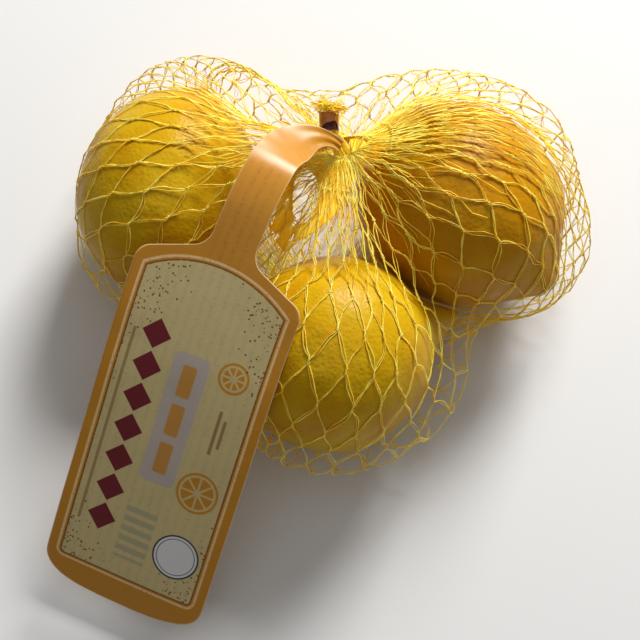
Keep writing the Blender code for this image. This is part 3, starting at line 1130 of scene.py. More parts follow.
@dataclass
class KnittedNet:
    """The net: diamond meshes of doubled tape that run from the gathered neck to a gather under the pack.

    Every strand zigzags from the neck to the underside and is knitted to the next strand at each turn, so the
    strands are drawn whole and only meet at the nodes.
    """

    cells: int = 64
    rows: int = 16
    bar: float = 12.4
    pull: float = 0.42
    push: float = 0.08
    stiffness: float = 0.2
    tape_width: float = 0.36
    tape_thickness: float = 0.15
    gap: float = 0.32
    damping: float = 0.6
    settle_every: int = 3
    neck_radius: float = 2.6
    neck_depth: float = 0.4
    polar_step: float = 2.0
    girth_at: float = 84.0
    evenness: float = 0.9
    slack_share: float = 0.28
    slack_most: float = 7.0
    knot_reach: float = 0.95
    knot_wrap: float = 0.24
    knot_lifts: tuple[Spot, ...] = ((0.15, 0.3), (0.5, 0.08), (0.85, 0.3))
    most_bow: float = 1.6
    crossed_share: float = 0.45
    spreads: tuple[float, ...] = (0.22, 0.3, 0.42, 0.6)
    shake: float = 0.11
    loop_steps: int = 10
    loop_turns: float = 1.65
    bar_steps: int = 6
    seed: int = 11
    rounds: int = 300
    centre: Point = (-0.64, 23.5, 20.0)
    nodes: np.ndarray = field(default_factory=lambda: np.zeros((0, 3)))

    def index(self, row: int, cell: int) -> int:
        """Gives a node's place in the list."""
        return row * self.cells + cell % self.cells

    def chain(self, column: int, leans: int) -> list[int]:
        """Lists the nodes that one zigzag strand runs through.

        Args:
            column: The column the strand starts in.
            leans: 0 for a strand that leaves the neck to the right, 1 for one that leaves to the left.

        Returns:
            Its nodes, from the neck to the underside.
        """
        return [self.index(row, column - (leans if row % 2 else 0)) for row in range(self.rows + 1)]

    def chains(self) -> list[list[int]]:
        """Lists the nodes of every zigzag strand."""
        return [self.chain(column, leans) for column in range(self.cells) for leans in (0, 1)]

    def meridian(self, skin: NetSkin, turn: float, first: float = 4.0, last: float = 177.0) -> np.ndarray:
        """Walks the skin from the neck to the underside.

        Args:
            skin: The surface.
            turn: The direction round the neck, in radians.
            first: The angle from the neck where the walk starts, in degrees.
            last: The angle where it ends.

        Returns:
            The points, in millimetres.
        """
        axis = (Vector(NECK) - Vector(self.centre)).normalized()
        across = axis.cross(Vector((1.0, 0.0, 0.0))).normalized()
        side = across * math.cos(turn) + axis.cross(across) * math.sin(turn)
        points = []
        for polar in np.radians(np.arange(first, last + 0.1, self.polar_step)):
            hit = skin.seen_from_centre(axis * math.cos(polar) + side * math.sin(polar))
            if hit is not None:
                points.append(hit[:])
        return np.array(points)

    def turns(self, skin: NetSkin) -> np.ndarray:
        """Spaces the columns of nodes round the pack's widest part, closer where the net hangs slack.

        Args:
            skin: The surface.

        Returns:
            The direction of each half column round the neck, in radians.
        """
        angles = np.linspace(0.0, math.tau, 361)
        ring = np.array([self.meridian(skin, angle, self.girth_at, self.girth_at)[0] for angle in angles])
        steps = np.linalg.norm(np.diff(ring, axis=0), axis=1)
        slack = np.array([min(skin.slack_at(Vector(point)), self.slack_most) for point in ring[1:]])
        walked = np.concatenate(([0.0], np.cumsum(steps * (1.0 + self.slack_share * slack))))
        evened = (1.0 - self.evenness) * angles / math.tau + self.evenness * walked / walked[-1]
        LOG.info("girth: %.0f mm", steps.sum())
        return np.interp(np.arange(2 * self.cells) / (2.0 * self.cells), evened, angles)

    def start_nodes(self, skin: NetSkin) -> None:
        """Sets the nodes out evenly along lines from the neck to the underside.

        Args:
            skin: The surface.
        """
        self.nodes = np.zeros(((self.rows + 1) * self.cells, 3))
        turns = self.turns(skin)
        for half in range(2):
            for cell in range(self.cells):
                path = self.meridian(skin, turns[2 * cell + half])
                walked = np.concatenate(([0.0], np.cumsum(np.linalg.norm(np.diff(path, axis=0), axis=1))))
                for row in range(half, self.rows + 1, 2):
                    share = walked[-1] * row / self.rows
                    place = [np.interp(share, walked, path[:, axis]) for axis in range(3)]
                    self.nodes[self.index(row, cell)] = place

    def lay_out(self, skin: NetSkin) -> None:
        """Sets the nodes out on the skin and lets the bars pull to their length.

        Args:
            skin: The surface.
        """
        self.start_nodes(skin)
        self.ring_at_neck()
        pairs = np.array(sorted({pair for chain in self.chains() for pair in zip(chain, chain[1:])}))
        joined: list[list[int]] = [[] for _ in self.nodes]
        for first, last in pairs:
            joined[first].append(last)
            joined[last].append(first)
        free = np.arange(self.cells, len(self.nodes) - self.cells)
        around = np.array([joined[node] for node in free])
        for step in range(self.rounds):
            bend = np.zeros_like(self.nodes)
            bend[free] = self.nodes[around].mean(axis=1) - self.nodes[free]
            self.nodes[free] -= self.stiffness * (bend[around].mean(axis=1) - bend[free])
            span = self.nodes[pairs[:, 1]] - self.nodes[pairs[:, 0]]
            length = np.linalg.norm(span, axis=1) + 1e-6
            excess = length - self.bar
            gain = np.where(excess > 0.0, self.pull, self.push)
            move = span * (gain * excess / length / 2.0)[:, None]
            shift = np.zeros_like(self.nodes)
            np.add.at(shift, pairs[:, 0], move)
            np.add.at(shift, pairs[:, 1], -move)
            self.nodes[free] += shift[free] * self.damping
            if (step + 1) % self.settle_every == 0 or step == self.rounds - 1:
                for node in free:
                    self.nodes[node] = skin.settle(Vector(self.nodes[node]), self.gap)[:]
        span = self.nodes[pairs[:, 1]] - self.nodes[pairs[:, 0]]
        LOG.info("bars: %s mm", np.percentile(np.linalg.norm(span, axis=1), (1, 10, 50, 90, 99)).round(1))

    def ring_at_neck(self) -> None:
        """Puts the first row of nodes in a tight ring round the neck."""
        axis = (Vector(TAIL_PATH[1]) - Vector(TAIL_PATH[0])).normalized()
        second_row = self.nodes[self.cells * 2 : self.cells * 3]
        for cell in range(self.cells):
            out = Vector(second_row[cell]) - Vector(NECK)
            out -= axis * out.dot(axis)
            place = Vector(NECK) + out.normalized() * self.neck_radius - axis * self.neck_depth
            self.nodes[self.index(0, cell)] = place[:]

    def bar_path(
        self, skin: NetSkin, ends: tuple[Vector, Vector], inward: float, dice: random.Random
    ) -> tuple[list[Vector], list[Vector]]:
        """Draws the two tapes of one bar.

        Args:
            skin: The surface they lie on.
            ends: Where the bar leaves one knot and reaches the next.
            inward: Which side of the bar the strand's own column is on, 1 or -1.
            dice: The source of the small differences.

        Returns:
            The points of each tape, in millimetres.
        """
        start, end = ends
        run = end - start
        length = max(run.length, 0.5)
        slack = max(self.bar - 2.0 * self.knot_reach - length, 0.0)
        bow = min(math.sqrt(slack * length * 0.36), self.most_bow) * dice.uniform(0.1, 0.8)
        bow *= dice.choice((-1.0, 1.0, inward))
        crossed = dice.random() < self.crossed_share
        spread = dice.choice(self.spreads) * min(length / 6.0, 1.0)
        lean = dice.uniform(-0.3, 0.3)
        first, second = [], []
        for step in range(self.bar_steps):
            part = (step + 0.5) / self.bar_steps
            middle = start.lerp(end, part)
            near, normal, _, _ = skin.bag.find_nearest(middle)
            side = normal.cross(run).normalized()
            swell = math.sin(math.pi * part)
            base = near + side * (bow * swell + lean * math.sin(math.tau * part))
            apart = spread * (0.25 + 0.75 * swell)
            apart *= math.cos(math.pi * part) if crossed else 1.0
            for out, sign in ((first, 1.0), (second, -1.0)):
                shaken = Vector([dice.uniform(-self.shake, self.shake) for _ in range(3)])
                height = 0.14 + 0.08 * sign * swell
                spot = base + side * (apart * sign) + normal * height + shaken
                out.append(skin.lift_off(spot, self.gap))
        return first, second

    def along_at(self, row: int, cell: int) -> Vector:
        """Gives the direction from the neck to the underside at a node.

        Args:
            row: The node's row.
            cell: The node's column.

        Returns:
            The direction, of length one.
        """
        shift = 1 if row % 2 else -1
        above = self.nodes[self.index(row - 1, cell)] + self.nodes[self.index(row - 1, cell + shift)]
        below = self.nodes[self.index(row + 1, cell)] + self.nodes[self.index(row + 1, cell + shift)]
        return Vector(below - above).normalized()

    def zigzag(self, skin: NetSkin, chain: list[int], leans: int, dice: random.Random) -> list[np.ndarray]:
        """Draws the two tapes of one strand from the neck to the underside.

        Args:
            skin: The surface they lie on.
            chain: The nodes that the strand runs through.
            leans: Which way it leaves the neck.
            dice: The source of the small differences.

        Returns:
            The tapes' points, in millimetres.
        """
        tapes: tuple[list[Vector], list[Vector]] = ([], [])
        leave = Vector(self.nodes[chain[0]])
        for tape in tapes:
            tape.append(leave + Vector([dice.uniform(-0.5, 0.5) for _ in range(3)]))
        for row in range(1, self.rows + 1):
            node = Vector(self.nodes[chain[row]])
            if row < self.rows:
                along = self.along_at(row, chain[row] % self.cells)
                reach = self.knot_reach * dice.uniform(0.75, 1.2)
                arrive, depart = node - along * reach, node + along * reach
            else:
                arrive = depart = node
            inward = 1.0 if (row + leans) % 2 else -1.0
            drawn = self.bar_path(skin, (leave, arrive), inward, dice)
            normal = skin.normal_at(node)
            side = normal.cross(arrive - leave).normalized()
            for index, (tape, bar) in enumerate(zip(tapes, drawn)):
                tape.extend(bar)
                if row < self.rows:
                    wrap = self.knot_wrap if index else -self.knot_wrap
                    for part, lift in self.knot_lifts:
                        aside = wrap * (1.0 - 2.0 * part) + dice.uniform(-0.1, 0.1)
                        spot = arrive.lerp(depart, part) + side * aside
                        tape.append(skin.lift_off(spot + normal * lift, self.gap))
            leave = depart
        return [np.array([point[:] for point in tape]) for tape in tapes]

    def stitch(self, skin: NetSkin, row: int, cell: int, dice: random.Random) -> np.ndarray:
        """Draws the knitted loop that holds two strands together at a node.

        Args:
            skin: The surface.
            row: The node's row.
            cell: The node's column.
            dice: The source of the small differences.

        Returns:
            The loop's points, in millimetres.
        """
        node = Vector(self.nodes[self.index(row, cell)])
        normal = skin.normal_at(node)
        along = self.along_at(row, cell)
        side = normal.cross(along).normalized()
        tall = self.knot_reach * dice.uniform(0.7, 1.25)
        wide = dice.uniform(0.32, 0.55)
        start = dice.uniform(0.0, math.tau)
        points = []
        for step in range(self.loop_steps):
            angle = start + self.loop_turns * math.tau * step / (self.loop_steps - 1)
            spot = node + along * (tall * math.cos(angle)) + side * (wide * math.sin(angle * 1.5))
            spot += normal * (0.2 + 0.28 * math.sin(angle + 0.7))
            points.append(skin.lift_off(spot, self.gap)[:])
        return np.array(points)

    def build(self, skin: NetSkin, material: bpy.types.Material) -> list[bpy.types.Object]:
        """Builds the net.

        Args:
            skin: The surface it lies on.
            material: The tape.

        Returns:
            The net's pieces.
        """
        self.lay_out(skin)
        dice = random.Random(self.seed)
        names = ("net_strands_a", "net_strands_b")
        halves = [StrandSet(name, self.tape_width, self.tape_thickness) for name in names]
        for column in range(self.cells):
            for leans, half in enumerate(halves):
                for tape in self.zigzag(skin, self.chain(column, leans), leans, dice):
                    half.add_loose(tape, dice)
        stitches = StrandSet("net_stitches", self.tape_width * 0.8, self.tape_thickness)
        for row in range(1, self.rows):
            for cell in range(self.cells):
                stitches.add_loose(self.stitch(skin, row, cell, dice), dice)
        return [strands.build(material) for strands in (*halves, stitches)]


@dataclass
class GatheredNeck:
    """The net drawn together: a tight bundle through the band and a frayed tuft behind it."""

    strands: int = 230
    tape_width: float = 0.34
    tape_thickness: float = 0.15
    reach: tuple[float, ...] = (3.2, 2.0, 1.75, 1.8, 1.9, 2.6)
    steps: int = 6
    twist: float = 0.9
    fray_step: float = 0.62
    seed: int = 5

    def strand(self, number: int, dice: random.Random) -> np.ndarray:
        """Draws one strand through the band to its frayed end.

        Args:
            number: The strand's number, which sets its place in the bundle.
            dice: The source of the small differences.

        Returns:
            Its points, in millimetres.
        """
        run = smooth_run(TAIL_PATH, self.steps)
        places = np.linspace(0.0, len(self.reach) - 1.0, len(run))
        share = math.sqrt((number + 0.5) / self.strands)
        points = []
        for index, (middle, place) in enumerate(zip(run, places)):
            radius = float(np.interp(place, range(len(self.reach)), self.reach)) * share
            axis = (run[min(index + 1, len(run) - 1)] - run[max(index - 1, 0)]).normalized()
            side = axis.cross(UP).normalized()
            up = side.cross(axis)
            angle = number * GOLDEN_TURN + self.twist * index / len(run)
            points.append(middle + (side * math.cos(angle) + up * math.sin(angle)) * radius)
        points = points[: len(points) - dice.randint(3, self.steps)]
        outward = (points[-1] - run[len(points) - 1]).normalized() * dice.uniform(0.2, 2.4)
        heading = (points[-1] - points[-3]).normalized()
        spot = points[-1]
        for _ in range(dice.randint(3, 8)):
            wander = Vector([dice.uniform(-0.7, 0.7) for _ in range(3)])
            heading = (heading * 0.65 + outward * 0.5 + wander).normalized()
            spot = spot + heading * self.fray_step
            points.append(spot.copy())
        return np.array([point[:] for point in points])

    def build(self, material: bpy.types.Material) -> bpy.types.Object:
        """Builds the bundle and its tuft.

        Args:
            material: The tape.

        Returns:
            The piece.
        """
        dice = random.Random(self.seed)
        bundle = StrandSet("net_gather", self.tape_width, self.tape_thickness)
        for number in range(self.strands):
            bundle.add_loose(self.strand(number, dice), dice)
        return bundle.build(material)


@dataclass
class NetWeb:
    """The spare net where it is drawn tightest: layers that close into one pleated sheet round the neck."""

    reaches: tuple[Spot, ...] = (
        (-35.0, 8.0),
        (0.0, 14.0),
        (35.0, 17.0),
        (60.0, 12.0),
        (100.0, 8.0),
        (150.0, 13.0),
        (195.0, 26.0),
        (238.0, 34.0),
        (266.0, 19.0),
        (290.0, 9.0),
        (325.0, 8.0),
    )
    inner: float = 2.0
    around: int = 330
    along: int = 30
    pleats: int = 58
    pleat_height: float = 0.2
    sunk: float = 0.35
    gap: float = 0.2
    thickness: float = 0.08

    def torn(self, share: float, turn: float, reach: float) -> bool:
        """Tells whether the sheet is open at a place.

        Args:
            share: How far out it is, from 0 at the neck to 1 at the sheet's edge.
            turn: Its direction round the neck, in radians.
            reach: Its distance from the neck, in millimetres.

        Returns:
            Whether no layer covers it.
        """
        streak = noise.noise(Vector((turn * 11.0, reach / 5.0, 2.0))) + 0.6 * noise.noise(
            Vector((turn * 27.0, reach / 3.0, 5.0))
        )
        return streak > 0.85 - 1.35 * max(share - 0.45, 0.0)

    def build(self, skin: NetSkin, eye: Spot, eye_half: Spot) -> bpy.types.Object:
        """Builds the sheet.

        Args:
            skin: The surface it lies under.
            eye: The middle of the mesh that stays open beside the strap, seen from above.
            eye_half: Its half sizes.

        Returns:
            The piece.
        """
        angles, reaches = zip(*self.reaches)
        span = angles[-1] - angles[0]
        work = bmesh.new()
        bmesh.ops.create_grid(work, x_segments=self.around, y_segments=self.along, size=1.0)
        chart = work.loops.layers.uv.new("drawn")
        places = {}
        for vert in work.verts:
            share = (vert.co.y + 1.0) / 2.0
            degrees = angles[0] + span * (vert.co.x + 1.0) / 2.0
            reach = self.inner + (float(np.interp(degrees, angles, reaches)) - self.inner) * share
            turn = math.radians(degrees)
            x, y = NECK[0] + math.cos(turn) * reach, NECK[1] + math.sin(turn) * reach
            top = skin.top_at(x, y)
            shift = 2.0 * noise.noise(Vector((turn * 3.0, reach / 8.0, 0.0)))
            height = self.pleat_height * math.cos(turn * self.pleats + shift)
            top.z += height * min(reach / 6.0, 1.0) - self.sunk
            vert.co = skin.lift_off(top, self.gap)
            places[vert] = (turn, reach, share)
        for face in work.faces:
            for loop in face.loops:
                turn, reach, _ = places[loop.vert]
                loop[chart].uv = (turn / math.tau, reach / 20.0)
        opened = []
        for face in work.faces:
            turn, reach, share = places[face.verts[0]]
            middle = face.calc_center_median()
            inside = math.hypot((middle.x - eye[0]) / eye_half[0], (middle.y - eye[1]) / eye_half[1])
            if inside < 1.0 or self.torn(share, turn, reach):
                opened.append(face)
        bmesh.ops.delete(work, geom=opened, context="FACES")
        bmesh.ops.remove_doubles(work, verts=work.verts, dist=0.002)
        bmesh.ops.smooth_vert(
            work, verts=work.verts, factor=0.4, use_axis_x=True, use_axis_y=True, use_axis_z=True
        )
        bmesh.ops.recalc_face_normals(work, faces=work.faces)
        bmesh.ops.scale(work, vec=(MM, MM, MM), verts=work.verts)
        web = mesh_object("net_web", work)
        wall = web.modifiers.new("layers", "SOLIDIFY")
        wall.thickness = self.thickness * MM
        wall.offset = 0.0
        return enlist(web, [DrawnLayers().material()], Slot.NET, "net_bag")


@dataclass
class NetFolds:
    """The spare net near the neck: fine drawn-out strands in folds, with one eye left open.

    Each sector gives its first and last direction in degrees, its number of strands, their shortest and
    longest length, and the most that they may lie under the skin.
    """

    sectors: tuple[tuple[float, float, int, float, float, float], ...] = (
        (178.0, 278.0, 190, 12.0, 40.0, 5.0),
        (-62.0, 22.0, 36, 18.0, 52.0, 0.5),
        (22.0, 150.0, 44, 10.0, 34.0, 3.0),
        (150.0, 192.0, 56, 20.0, 52.0, 0.8),
    )
    eye: Spot = (-5.9, 33.2)
    eye_half: Spot = (3.9, 8.6)
    inner: float = 1.6
    gap: float = 0.3
    tape_width: float = 0.27
    tape_thickness: float = 0.12
    steps: int = 22
    seed: int = 21

    def spare(
        self, skin: NetSkin, turn: float, length: float, depth: float, dice: random.Random
    ) -> np.ndarray:
        """Draws one strand of the folds.

        Args:
            skin: The surface it lies on or under.
            turn: The direction it leaves the neck in, seen from above, in radians.
            length: Its length seen from above, in millimetres.
            depth: The most it may lie under the skin.
            dice: The source of the small differences.

        Returns:
            Its points, in millimetres.
        """
        sunk = depth * dice.random() ** 1.5
        swing = dice.uniform(0.3, 1.3)
        pitch = dice.uniform(7.0, 11.0)
        phase = dice.uniform(0.0, 2.0)
        bow = dice.uniform(-0.08, 0.08) * length
        points = []
        for step in range(self.steps):
            part = step / (self.steps - 1)
            reach = self.inner + (length - self.inner) * part
            wave = abs((reach / pitch + phase) % 2.0 - 1.0) - 0.5
            aside = (swing * wave * 2.0 + bow * part) * min(part * 4.0, 1.0)
            x = NECK[0] + math.cos(turn) * reach - math.sin(turn) * aside
            y = NECK[1] + math.sin(turn) * reach + math.cos(turn) * aside
            across, up = (x - self.eye[0]) / self.eye_half[0], (y - self.eye[1]) / self.eye_half[1]
            inside = math.hypot(across, up)
            if inside < 1.0:
                x = self.eye[0] + self.eye_half[0] * across / max(inside, 0.05) * dice.uniform(1.0, 1.25)
                y = self.eye[1] + self.eye_half[1] * up / max(inside, 0.05) * dice.uniform(1.0, 1.1)
            top = skin.top_at(x, y)
            top.z += dice.uniform(-0.1, 0.25) + 0.15 - sunk * math.sin(math.pi * min(part * 1.3, 1.0) / 2.0)
            points.append(skin.lift_off(top, self.gap)[:])
        return np.array(points)

    def build(self, skin: NetSkin, material: bpy.types.Material) -> bpy.types.Object:
        """Builds the folds.

        Args:
            skin: The surface they lie on.
            material: The tape.

        Returns:
            The piece.
        """
        dice = random.Random(self.seed)
        folds = StrandSet("net_folds", self.tape_width, self.tape_thickness)
        for first, last, count, shortest, longest, depth in self.sectors:
            for number in range(count):
                turn = math.radians(first + (last - first) * (number + dice.random()) / count)
                folds.add_loose(self.spare(skin, turn, dice.uniform(shortest, longest), depth, dice), dice)
        return folds.build(material)


@dataclass
class CollarBand:
    """The band: a turn of glossy film round the bundle, open below, with a dark maroon turn inside it that is
    the film's inner side deepened by painted shade.
    """

    radius: float = 2.6
    length: float = 6.2
    wrap: float = 235.0
    wall: float = 0.3
    notch: float = 3.0
    notch_slope: float = 0.22
    notch_middle: float = 0.1
    notch_half: float = 1.05
    nested: float = 0.42
    around: int = 44
    along: int = 18

    def sheet(self, name: str, radius: float, low: float, high: float, notch: float) -> bpy.types.Object:
        """Makes one open turn of film.

        Args:
            name: The piece's name.
            radius: Its radius in millimetres.
            low: Where it starts along the bundle.
            high: Where it ends.
            notch: How far its near edge is cut back on top.

        Returns:
            The piece.
        """
        axis = (Vector(TAIL_PATH[4]) - Vector(TAIL_PATH[2])).normalized()
        middle = Vector(TAIL_PATH[3])
        side = axis.cross(UP).normalized()
        up = side.cross(axis)
        work = bmesh.new()
        bmesh.ops.create_grid(work, x_segments=self.around, y_segments=self.along, size=1.0)
        for vert in work.verts:
            angle = vert.co.x * math.radians(self.wrap) / 2.0
            cut = math.exp(-(((angle - self.notch_middle) / self.notch_half) ** 6))
            cut *= notch * (1.0 + self.notch_slope * angle)
            share = (vert.co.y + 1.0) / 2.0
            lift = low + cut + (high - low - cut) * share
            flare = 0.16 * share**3 + 0.12 * (1.0 - share) ** 3
            ripple = 0.05 * noise.noise(Vector((angle * 2.0, lift / 1.5, radius)))
            radial = up * math.cos(angle) + side * math.sin(angle)
            vert.co = (middle + axis * lift + radial * (radius + flare + ripple)) * MM
        bmesh.ops.recalc_face_normals(work, faces=work.faces)
        obj = mesh_object(name, work)
        wall = obj.modifiers.new("wall", "SOLIDIFY")
        wall.thickness = self.wall * MM
        wall.offset = 1.0
        wall.material_offset_rim = 1
        return obj

    def build(self) -> list[bpy.types.Object]:
        """Builds and dresses the band.

        Returns:
            The pieces.
        """
        outer = PlainFilm("glossy_orange_brown_film", "#CC8440", "#B26A28", 0.2).material()
        # The inner turn's dark maroon is the film's inner side, deepened as painted shade inside the band's
        # open end.
        inner = PlainFilm("maroon_film_with_painted_shade", "#5A241C", "#421511", 0.3).material()
        edge = PlainFilm("pale_cut_film_edge", "#E2B6A0", "#CF9D86", 0.4).material()
        half = self.length / 2.0
        band = self.sheet("band_outer", self.radius, -half, half, self.notch)
        turn = self.sheet("band_inner", self.radius - self.nested, -half + 0.3, 0.2, 0.3)
        return [
            enlist(band, [outer, edge], Slot.COLLAR, "collar"),
            enlist(turn, [inner, inner], Slot.COLLAR, "collar"),
        ]


@dataclass
class HangLabel:
    """The film label: a panel on a strap that arches up to the neck, one bent sheet."""

    stations: tuple[tuple[Point, float], ...] = (
        ((-64.64, -85.1, 7.4), 0.0),
        ((-60.64, -75.7, 15.2), 1.0),
        ((-53.64, -57.9, 28.0), 2.0),
        ((-46.44, -39.1, 40.2), 3.0),
        ((-39.44, -20.3, 51.2), 3.0),
        ((-32.74, -2.8, 60.0), 2.0),
        ((-26.54, 11.5, 66.4), 1.0),
        ((-22.14, 21.0, 70.4), 0.0),
        ((-18.94, 27.5, 72.1), 0.0),
        ((-16.34, 32.6, 72.4), 0.0),
        ((-14.44, 36.3, 71.5), 0.0),
        ((-12.64, 39.4, 69.5), 0.0),
        ((-10.24, 42.4, 66.8), 0.0),
        ((-7.04, 45.2, 64.0), 0.0),
        ((-3.64, 47.0, 62.0), 0.0),
        ((-0.24, 47.6, 60.4), 0.0),
        ((2.76, 47.2, 58.6), 0.0),
        ((4.76, 46.4, 56.4), 0.0),
    )
    thickness: float = 0.34
    panel_half: float = 26.2
    strap_half: float = 7.0
    neck_half: float = 1.8
    pinch_start: float = 21.0
    pinch_end: float = 0.8
    pleat: float = 0.16
    panel_length: float = 106.6
    end_depth: float = 11.0
    end_power: float = 2.9
    shoulder_slope: float = 22.0
    shoulder_fillet: float = 6.5
    shoulder_corner: float = 5.0
    columns: int = 60
    first_row: float = 0.06
    row_step: float = 1.0
    fine_step: float = 0.4
    ripple: float = 0.35
    path_steps: int = 10

    def half_width(self, along: float, total: float) -> float:
        """Gives the label's half width at a distance from its free end.

        Args:
            along: The distance from the free end.
            total: The label's length.

        Returns:
            Half the width, in millimetres.
        """
        slope = math.radians(self.shoulder_slope)
        turn = math.pi / 2.0 - slope
        corner_run = self.shoulder_corner * math.sin(turn)
        corner_drop = self.shoulder_corner * (1.0 - math.cos(turn))
        fillet_run = self.shoulder_fillet * math.sin(turn)
        fillet_drop = self.shoulder_fillet * (1.0 - math.cos(turn))
        straight_run = (self.panel_half - self.strap_half - corner_drop - fillet_drop) * math.tan(slope)
        if along < self.end_depth:
            left = 1.0 - along / self.end_depth
            return self.panel_half * (1.0 - left**self.end_power) ** (1.0 / self.end_power)
        past = along - self.panel_length
        if past <= 0.0:
            half = self.panel_half
        elif past < corner_run:
            half = self.panel_half - self.shoulder_corner + math.sqrt(self.shoulder_corner**2 - past**2)
        elif past < corner_run + straight_run:
            half = self.panel_half - corner_drop - (past - corner_run) / math.tan(slope)
        elif past < corner_run + straight_run + fillet_run:
            rest = corner_run + straight_run + fillet_run - past
            half = self.strap_half + self.shoulder_fillet - math.sqrt(self.shoulder_fillet**2 - rest**2)
        else:
            half = self.strap_half
        return half + (self.neck_half - half) * self.pinch(along, total)

    def pinch(self, along: float, total: float) -> float:
        """Gives how far the strap is drawn together.

        Args:
            along: The distance from the free end.
            total: The label's length.

        Returns:
            0 on the panel, rising to 1 at the neck.
        """
        share = min(max((self.pinch_start - total + along) / (self.pinch_start - self.pinch_end), 0.0), 1.0)
        return share * share * (3.0 - 2.0 * share)

    def margin(self, along: float, across: float, total: float) -> float:
        """Gives the distance from a place on the label to its cut edge, in millimetres."""
        slope = (self.half_width(along + 0.2, total) - self.half_width(max(along - 0.2, 0.01), total)) / 0.4
        return (self.half_width(along, total) - abs(across)) / math.hypot(1.0, slope)

    def rows(self, total: float) -> list[float]:
        """Lists the distances of the mesh's rows from the free end, closer where the outline turns.

        Args:
            total: The label's length.

        Returns:
            The distances, in millimetres.
        """
        rows = []
        along = self.first_row
        while along < total:
            rows.append(along)
            turning = along < self.end_depth or -2.0 < along - self.panel_length < 4.0 * self.shoulder_corner
            along += self.fine_step if turning else self.row_step
        return [*rows, total]

    def build(self) -> bpy.types.Object:
        """Builds and dresses the label.

        Returns:
            The label.
        """
        run = smooth_run([point for point, _ in self.stations], self.path_steps)
        places = np.linspace(0.0, len(self.stations) - 1.0, len(run))
        turns = np.interp(places, range(len(self.stations)), [roll for _, roll in self.stations])
        steps = [(after - before).length for before, after in zip(run, run[1:])]
        lengths = np.concatenate(([0.0], np.cumsum(steps)))
        total = float(lengths[-1])
        rows = self.rows(total)
        work = bmesh.new()
        bmesh.ops.create_grid(work, x_segments=self.columns, y_segments=len(rows) - 1, size=1.0)
        chart = work.loops.layers.uv.new("print")
        margins = work.verts.layers.float.new("margin")
        flat = {}
        for vert in work.verts:
            along = rows[round((vert.co.y + 1.0) / 2.0 * (len(rows) - 1))]
            index = min(max(int(np.searchsorted(lengths, along)) - 1, 0), len(run) - 2)
            part = (along - lengths[index]) / (lengths[index + 1] - lengths[index])
            point = run[index].lerp(run[index + 1], part)
            tangent = (run[min(index + 2, len(run) - 1)] - run[max(index - 1, 0)]).normalized()
            side = tangent.cross(UP).normalized()
            up = side.cross(tangent)
            roll = math.radians(float(turns[index]))
            across = self.half_width(along, total) * vert.co.x
            wave = noise.noise(Vector((across / 24.0, along / 30.0, 3.0))) * self.ripple
            wave += noise.noise(Vector((across / 9.0, along / 12.0, 7.0))) * self.ripple * 0.22
            wave += self.pleat * self.pinch(along, total) * math.cos(vert.co.x * 2.0 * math.pi)
            vert[margins] = self.margin(along, across, total)
            out = side * math.cos(roll) + up * math.sin(roll)
            vert.co = (point + out * across + up * wave) * MM
            flat[vert] = (0.5 + across / (2.0 * self.panel_half), along / total)
        for face in work.faces:
            for loop in face.loops:
                loop[chart].uv = flat[loop.vert]
        bmesh.ops.recalc_face_normals(work, faces=work.faces)
        label = mesh_object("hang_label", work)
        wall = label.modifiers.new("film", "SOLIDIFY")
        wall.thickness = self.thickness * MM
        wall.offset = 0.0
        wall.material_offset_rim = 1
        # The film's cut rim: pale bare film, with a painted highlight where the edge catches light.
        edge = PlainFilm("pale_cut_label_edge_and_highlight", "#F0D2A2", "#DDB984", 0.4).material()
        film = LabelPrint().material(2.0 * self.panel_half, total)
        return enlist(label, [film, edge], Slot.LABEL, "label")


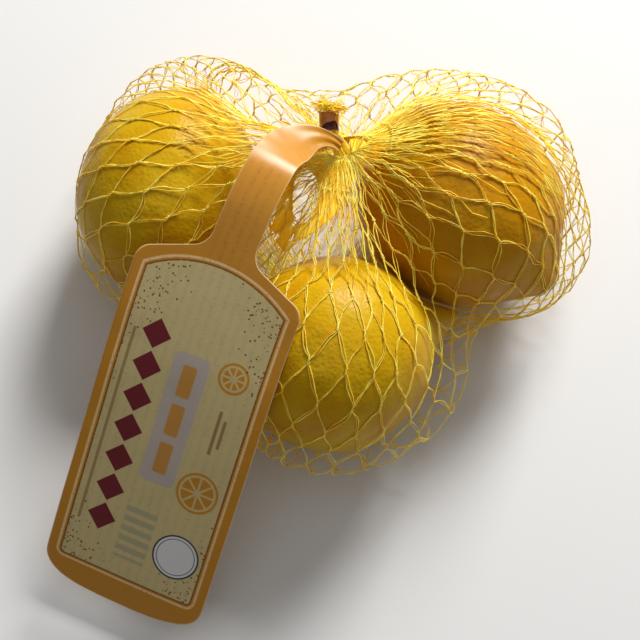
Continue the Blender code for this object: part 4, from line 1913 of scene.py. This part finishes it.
@dataclass
class Studio:
    """A pale floor, one low soft lamp from the far right, a weak wide one above, and the camera."""

    target: Point = (-1.44, -0.50, 30.0)
    distance: float = 440.0
    elevation: float = 75.0
    lens: float = 79.84
    sensor: float = 36.0
    key_from: Point = (0.33, 0.77, 0.54)
    key_distance: float = 1.3
    key_size: float = 0.46
    key_power: float = 25.0
    sky_distance: float = 2.0
    sky_size: float = 2.0
    sky_power: float = 6.0
    world: float = 0.15
    floor_size: float = 6.0

    def build(self) -> None:
        """Builds the floor, the lamps and the camera."""
        work = bmesh.new()
        bmesh.ops.create_grid(work, x_segments=1, y_segments=1, size=self.floor_size / 2.0)
        floor = mesh_object("floor", work)
        floor.data.materials.append(PaleFloor().material())
        self.lamp("key", Vector(self.key_from), self.key_distance, self.key_size, self.key_power)
        self.lamp("sky", UP, self.sky_distance, self.sky_size, self.sky_power)
        world = bpy.data.worlds.new("studio")
        world.use_nodes = True
        backdrop = world.node_tree.nodes["Background"]
        backdrop.inputs["Color"].default_value = (1.0, 1.0, 1.0, 1.0)
        backdrop.inputs["Strength"].default_value = self.world
        scene = bpy.context.scene
        scene.world = world
        scene.view_settings.view_transform = "Standard"
        self.camera()

    def lamp(self, name: str, towards: Vector, distance: float, size: float, power: float) -> None:
        """Adds one square lamp that faces the pack.

        Args:
            name: The lamp's name.
            towards: The direction from the pack to the lamp.
            distance: How far away it is, in metres.
            size: The length of its sides, in metres.
            power: Its power in watts.
        """
        light = bpy.data.lights.new(name, "AREA")
        light.shape = "SQUARE"
        light.size = size
        light.energy = power
        obj = bpy.data.objects.new(name, light)
        bpy.context.scene.collection.objects.link(obj)
        obj.location = towards.normalized() * distance + Vector(self.target) * MM
        obj.rotation_euler = towards.to_track_quat("Z", "Y").to_euler()

    def camera(self) -> None:
        """Adds the camera, above the near side of the pack."""
        data = bpy.data.cameras.new("camera")
        data.lens = self.lens
        data.sensor_width = self.sensor
        obj = bpy.data.objects.new("camera", data)
        bpy.context.scene.collection.objects.link(obj)
        tilt = math.radians(self.elevation)
        back = Vector((0.0, -math.cos(tilt), math.sin(tilt)))
        obj.location = (Vector(self.target) + back * self.distance) * MM
        obj.rotation_euler = (math.pi / 2.0 - tilt, 0.0, 0.0)
        bpy.context.scene.camera = obj


LEMONS = (
    Lemon(
        name="lemon_left",
        centre=(-49.84, 42.6, 28.6),
        half_length=33.0,
        half_width=28.0,
        azimuth=72.0,
        dip=0.0,
        nipple_length=3.0,
        nipple_radius=7.0,
        nipple_power=2.0,
        seed=1.0,
    ),
    Lemon(
        name="lemon_right",
        centre=(42.6, 36.8, 31.3),
        half_length=34.0,
        half_width=30.7,
        azimuth=-42.0,
        dip=4.0,
        nipple_length=4.5,
        nipple_radius=8.5,
        nipple_power=2.2,
        fullness=2.1,
        ripeness=0.2,
        seed=2.0,
    ),
    Lemon(
        name="lemon_front",
        centre=(2.4, -11.4, 30.7),
        half_length=30.8,
        half_width=30.0,
        azimuth=20.0,
        dip=8.0,
        nipple_length=12.0,
        nipple_radius=6.0,
        nipple_power=1.5,
        ripeness=-0.04,
        seed=3.0,
    ),
)


def main() -> None:
    """Builds every piece in order."""
    logging.basicConfig(level=logging.INFO, format="%(message)s")
    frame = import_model()
    Studio().build()
    peel = LemonPeel().material()
    tape = NetTape().material()
    lemons = [lemon.build(peel) for lemon in LEMONS]
    net = KnittedNet()
    skin = NetSkin(frame["nodes"]["net_bag"], lemons, net.centre)
    net.build(skin, tape)
    # The drawn tape's last value is painted light: an emission that lightens it in shade.
    drawn = NetTape("drawn_polyethylene_tape", "#FFDE4A", "#FCC42A", 0.06).material()
    folds = NetFolds()
    folds.build(skin, drawn)
    NetWeb().build(skin, folds.eye, folds.eye_half)
    GatheredNeck().build(drawn)
    CollarBand().build()
    HangLabel().build()


if __name__ == "__main__":
    main()
